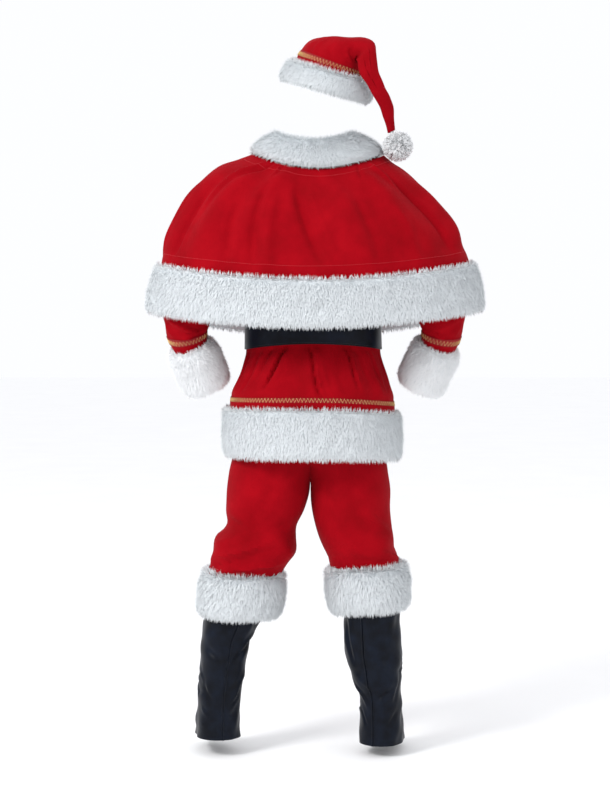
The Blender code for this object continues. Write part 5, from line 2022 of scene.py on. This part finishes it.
@dataclass
class Trousers:
    """The trousers: two panels for each leg that blouse over a plush band."""

    shop: Workshop
    leg_half_width: float = 0.09
    column: float = 6.0
    step: float = 0.0082
    band_depth: float = 0.028
    panel_cut: tuple[float, float] = (0.32, 0.60)

    def build(self) -> None:
        """Builds and dresses the trousers."""
        shop = self.shop
        legs = (
            (-1, "left", LEFT_LEG_ROWS, LEFT_LEG_CREASES, LEFT_LEG_BAND),
            (1, "right", RIGHT_LEG_ROWS, RIGHT_LEG_CREASES, RIGHT_LEG_BAND),
        )
        for side, word, rows, creases, band_rows in legs:
            form = LegForm(rows, LEG_FOLDS, creases, (0.00175, 0.042), 0.08, 0.0008, side)
            levels = form.even_levels(0.0, len(rows) - 1.0, self.step, 240.0)
            first, second = ("front", "back") if side < 0 else ("back", "front")
            for half, start in ((first, 0.0), (second, 180.0)):
                node = f"trouser_{half}_{word}"
                angles = panel_angles(start, start + 180.0, self.column / 2.0, self.leg_half_width)
                panel = wall(f"{node}_velour", form, angles, levels)
                shop.velour_sheet(panel, node, self.panel_cut, ["trouser_waistband"], 0.85)
            band = PlushBand(f"leg_{word}_plush", self.band_depth, per_cm2=36.0, lock_width=0.0017, tuft=0.010).build(
                shop.pile, BodyForm(band_rows, power=2.0), round_angles(72), 0.0, 1.0, True, 30 + side
            )
            shop.band(band, f"leg_band_{word}")


LEFT_BOOT_ROWS = table(
    BootRow,
    (0.445, -0.1814, -0.001, 0.082, 0.0832, 0.0832, 0.0),
    (0.4, -0.1925, 0.0, 0.077, 0.077, 0.077, 0.0),
    (0.35, -0.2045, -0.003, 0.074, 0.073, 0.073, 0.0),
    (0.285, -0.2246, -0.008, 0.06, 0.062, 0.064, 0.0),
    (0.207, -0.235, -0.012, 0.0557, 0.058, 0.062, 0.0),
    (0.14, -0.242, -0.014, 0.0533, 0.055, 0.064, 0.0),
    (0.105, -0.243, -0.014, 0.0535, 0.0545, 0.082, 0.0),
    (0.075, -0.243, -0.014, 0.054, 0.0545, 0.115, 0.004),
    (0.045, -0.242, -0.014, 0.055, 0.0545, 0.145, 0.012),
)
RIGHT_BOOT_ROWS = table(
    BootRow,
    (0.46, 0.1342, -0.001, 0.0795, 0.0816, 0.0816, 0.0),
    (0.41, 0.141, 0.0, 0.0745, 0.076, 0.076, 0.0),
    (0.36, 0.147, -0.003, 0.0708, 0.072, 0.072, 0.0),
    (0.26, 0.153, -0.008, 0.0712, 0.068, 0.068, 0.0),
    (0.195, 0.16, -0.012, 0.062, 0.062, 0.064, 0.0),
    (0.145, 0.169, -0.014, 0.0525, 0.056, 0.064, 0.0),
    (0.105, 0.17, -0.014, 0.053, 0.0545, 0.085, 0.0),
    (0.07, 0.17, -0.014, 0.054, 0.0545, 0.115, 0.004),
    (0.03, 0.17, -0.014, 0.055, 0.0545, 0.145, 0.006),
)
BOOT_FOLDS = table(
    Fold,
    (200.0, 40.0, 0.005, 2.2, 3.8, 40.0),
    (330.0, 40.0, 0.005, 2.8, 4.6, -40.0),
    (90.0, 45.0, 0.006, 4.0, 6.0, 0.0),
    (300.0, 35.0, 0.004, 4.4, 6.0, -20.0),
)
LEFT_BOOT_CREASES = table(
    Crease,
    (345.0, 2.8, 262.0, 3.9, 0.006, -0.007, 0.5),
    (350.0, 2.5, 300.0, 3.4, 0.007, 0.005, 0.6),
    (262.0, 3.5, 205.0, 3.0, 0.007, -0.003, -0.5),
    (262.0, 3.7, 284.0, 3.3, 0.005, 0.005, 0.6),
    (340.0, 3.8, 300.0, 5.0, 0.008, 0.005, 0.6),
    (330.0, 4.6, 280.0, 5.4, 0.006, -0.004, 0.6),
    (205.0, 4.2, 250.0, 5.0, 0.007, -0.004, 0.6),
    (200.0, 5.2, 245.0, 6.2, 0.006, 0.0035, 0.6),
    *scattered(63, 16, (0.0, 360.0), (1.6, 6.6), 0.8, 0.006, 0.0028, 50.0),
)
RIGHT_BOOT_CREASES = table(
    Crease,
    (215.0, 2.0, 245.0, 3.4, 0.007, -0.005, 0.6),
    (320.0, 4.4, 262.0, 5.1, 0.006, -0.0065, 0.6),
    (320.0, 5.0, 268.0, 5.3, 0.005, 0.0045, 0.6),
    (345.0, 3.6, 310.0, 5.4, 0.008, 0.0045, 0.6),
    (205.0, 4.0, 255.0, 5.6, 0.007, 0.0045, 0.6),
    (210.0, 5.4, 250.0, 6.8, 0.006, -0.004, 0.6),
    (335.0, 5.6, 300.0, 7.0, 0.007, -0.0035, 0.6),
    *scattered(62, 16, (0.0, 360.0), (1.6, 6.6), 0.8, 0.006, 0.0028, 50.0),
)


@dataclass
class BootCovers:
    """The boot covers of leather cloth with a piped seam down the back."""

    shop: Workshop
    thickness: float = 0.0022
    piping_radius: float = 0.0015
    cut: tuple[float, float] = (0.48, 0.42)

    def build(self) -> None:
        """Builds and dresses the boot covers."""
        shop = self.shop
        boots = (
            (-1, "left", LEFT_BOOT_ROWS, LEFT_BOOT_CREASES, 270.0),
            (1, "right", RIGHT_BOOT_ROWS, RIGHT_BOOT_CREASES, 260.0),
        )
        for side, word, rows, creases, seam in boots:
            form = BootForm(rows, BOOT_FOLDS, creases, (0.0011, 0.058), 0.05, 0.0014, side)
            levels = form.even_levels(0.0, len(rows) - 1.0, 0.0055)
            cover = wall(
                f"boot_cover_{word}_leathercloth", form, round_angles(90), levels, thickness=self.thickness,
                closed=True,
            )
            shop.hand_over(cover, Slot.LEATHER_CLOTH, [f"boot_cover_{word}"], shop.leather_cloth)
            down = form.even_levels(1.0, len(rows) - 1.0, 0.006)
            line = shop.sewing.line(
                f"boot_piping_{word}_cord", form, np.full(down.shape, seam), down, self.piping_radius * 0.9, False
            )
            piping = shop.sewing.thread(line, shop.leather_cloth, 0.006, 0.0, self.piping_radius)
            shop.hand_over(piping, Slot.LEATHER_CLOTH, [f"boot_piping_{word}"])
            for name, off in (("inner", -2.6), ("outer", 2.6)):
                beside = shop.sewing.line(
                    f"boot_{word}_{name}_stitches", form, np.full(down.shape, seam + off), down, 0.0002, False
                )
                row = shop.sewing.stitches(beside, shop.black_thread, (0.0034, 0.0009, 0.0007))
                shop.hand_over(row, Slot.LEATHER_CLOTH)


HAT_ROWS = table(
    HatRow,
    (0.1914, -0.0644, 1.5686, 156.0, 0.0, 0.0095, 0.008),
    (0.179, -0.088, 1.624, 158.0, 0.0, 0.0165, 0.011),
    (0.1558, -0.11, 1.668, 166.0, 0.0, 0.019, 0.013),
    (0.1338, -0.122, 1.708, 172.0, 0.0, 0.023, 0.015),
    (0.1275, -0.116, 1.7465, 158.0, 0.0, 0.026, 0.02),
    (0.1225, -0.096, 1.764, 127.0, 0.0, 0.03, 0.03),
    (0.101, -0.06, 1.768, 75.0, 0.0, 0.034, 0.054),
    (0.077, -0.032, 1.769, 46.0, 3.0, 0.054, 0.074),
    (0.06, -0.012, 1.762, 28.0, 7.0, 0.08, 0.094),
    (0.051, -0.004, 1.745, 19.0, 9.0, 0.09, 0.102),
    (0.048, -0.002, 1.735, 17.0, 9.0, 0.0935, 0.105),
    (0.046, 0.0, 1.728, 15.0, 9.0, 0.095, 0.108),
    (0.023, 0.004, 1.672, 15.0, 9.0, 0.106, 0.118),
)
HAT_CREASES = table(
    Crease,
    (322.0, 8.8, 300.0, 5.6, 0.006, -0.005, 0.6),
    (300.0, 8.2, 255.0, 6.4, 0.007, 0.004, 0.6),
    (262.0, 8.9, 240.0, 7.2, 0.006, -0.0035, 0.6),
    (228.0, 8.9, 215.0, 7.4, 0.006, 0.0035, 0.6),
    (290.0, 4.4, 270.0, 1.4, 0.004, -0.003, 0.5),
    (250.0, 5.2, 262.0, 2.4, 0.004, 0.0028, 0.5),
    *scattered(71, 8, (180.0, 360.0), (6.6, 8.8), -1.2, 0.006, 0.0022, 30.0),
)


@dataclass
class Hat:
    """The hat: a soft crown whose tail falls over the side, a braid, a plush band and a pompom."""

    shop: Workshop
    step: float = 0.005
    brim: float = 11.08
    brim_end: float = 12.0
    band_rise: float = 0.056
    band_depth: float = 0.021
    pompom_radius: float = 0.039
    pompom_core: float = 0.0265
    crown_cut: tuple[float, float] = (0.60, 0.42)
    braid_cut: tuple[float, float] = (0.60, 0.0130)

    def build(self) -> None:
        """Builds and dresses the hat."""
        shop = self.shop
        form = HatForm(HAT_ROWS, (), HAT_CREASES, (0.0015, 0.030), 0.05, 0.0010)
        levels = form.even_levels(0.0, self.brim - SEAM_GAP / self.band_rise, self.step)
        crown = wall("hat_crown_velour", form, round_angles(96), levels, closed=True)
        shop.velour_sheet(crown, "hat_crown", self.crown_cut, ["hat_band"], 0.34)
        shop.braid("hat", form, round_angles(120), (8.7, 9.75), True, "hat_braid", self.braid_cut)
        band = PlushBand("hat_band_plush", self.band_depth, per_cm2=48.0).build(
            shop.pile, HatForm(HAT_ROWS), round_angles(90), self.brim, self.brim_end, True, 8
        )
        shop.band(band, "hat_band")
        self.build_pompom()

    def build_pompom(self) -> None:
        """Builds the pompom: a tight core with pile standing out all round."""
        low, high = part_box("hat_pompom")
        centre = (Vector(low) + Vector(high)) / 2.0
        shape = bmesh.new()
        bmesh.ops.create_icosphere(shape, subdivisions=4, radius=self.pompom_core)
        for vert in shape.verts:
            vert.co += centre
        mesh = mesh_from(shape, "hat_pompom_plush")
        store(mesh, "comb", np.tile(np.array((0.0, 0.0, -0.1)), (len(mesh.vertices), 1)))
        store(mesh, "hairy", np.ones(len(mesh.polygons), bool), "BOOLEAN", "FACE")
        pompom = new_object("hat_pompom_plush", mesh)
        length = (self.pompom_radius - self.pompom_core) * 1.12
        self.shop.fresh_pile.grow(pompom, length, 0.0014, 170.0, 9, 0.009)
        self.shop.band(pompom, "hat_pompom", 0.8)


@dataclass
class Studio:
    """A pale seamless floor, soft lights and the camera at the height of the shoulder blades."""

    camera_place: tuple[float, float, float] = (-0.0228, -4.5, -0.35)
    camera_down: float = 2.545
    lens: float = 80.06
    sensor: float = 36.0
    floor_height: float = -SHOULDER_HEIGHT
    floor_half: float = 30.0
    surround: float = 1.02

    def build(self) -> None:
        """Builds the set."""
        self.build_floor()
        self.build_camera()
        self.build_lights()

    def build_floor(self) -> None:
        """Builds the floor, wide enough to meet the surround at the horizon."""
        half = self.floor_half
        corners = [(-half, -half), (half, -half), (half, half), (-half, half)]
        mesh = bpy.data.meshes.new("studio_floor")
        mesh.from_pydata([(x, y, self.floor_height) for x, y in corners], [], [(0, 1, 2, 3)])
        material, tree, shader, place = new_material("matt_white_paper")
        specks = noise(tree, place, MILLIMETRES / 3.0, 2.0)
        colour_by(shader, specks, ((0.2, "#FBFBFB"), (0.8, "#FEFEFE")))
        set_inputs(shader, {"Roughness": 0.95})
        mesh.materials.append(material)
        new_object("studio_floor", mesh)

    def build_camera(self) -> None:
        """Builds the camera; 36 mm of sensor stand for the height of the picture."""
        lens = bpy.data.cameras.new("camera")
        lens.sensor_fit = "VERTICAL"
        lens.sensor_height = self.sensor
        lens.lens = self.lens
        camera = bpy.data.objects.new("camera", lens)
        camera.location = self.camera_place
        camera.rotation_euler = (math.radians(90.0 - self.camera_down), 0.0, 0.0)
        bpy.context.scene.collection.objects.link(camera)
        bpy.context.scene.camera = camera

    def build_lights(self) -> None:
        """Builds a strong soft box from the upper left, a weak one from the right and an even white surround."""
        boxes = (
            ("key_softbox", (-2.8, -2.8, 2.0), 1.2, 135.0),
            ("fill_softbox", (2.8, -3.4, 0.6), 2.0, 18.0),
        )
        for name, place, size, power in boxes:
            light = bpy.data.lights.new(name, "AREA")
            light.shape = "SQUARE"
            light.size = size
            light.energy = power
            lamp = bpy.data.objects.new(name, light)
            lamp.location = place
            aim = Vector((0.0, 0.0, -0.3)) - Vector(place)
            lamp.rotation_euler = aim.to_track_quat("-Z", "Y").to_euler()
            bpy.context.scene.collection.objects.link(lamp)
        world = bpy.data.worlds.new("surround")
        world.use_nodes = True
        sky = world.node_tree.nodes["Background"]
        sky.inputs["Color"].default_value = linear("#FBFCFF")
        sky.inputs["Strength"].default_value = self.surround
        bpy.context.scene.world = world
        bpy.context.scene.view_settings.view_transform = "Standard"


def main() -> None:
    """Builds the suit, sub-assembly by sub-assembly, and the set round it."""
    logging.basicConfig(level=logging.INFO, format="%(name)s %(message)s")
    shop = Workshop()
    Hat(shop).build()
    Cape(shop).build()
    Jacket(shop).build()
    Belt(shop).build()
    Trousers(shop).build()
    BootCovers(shop).build()
    shop.clear()
    Studio().build()


if __name__ == "__main__":
    main()
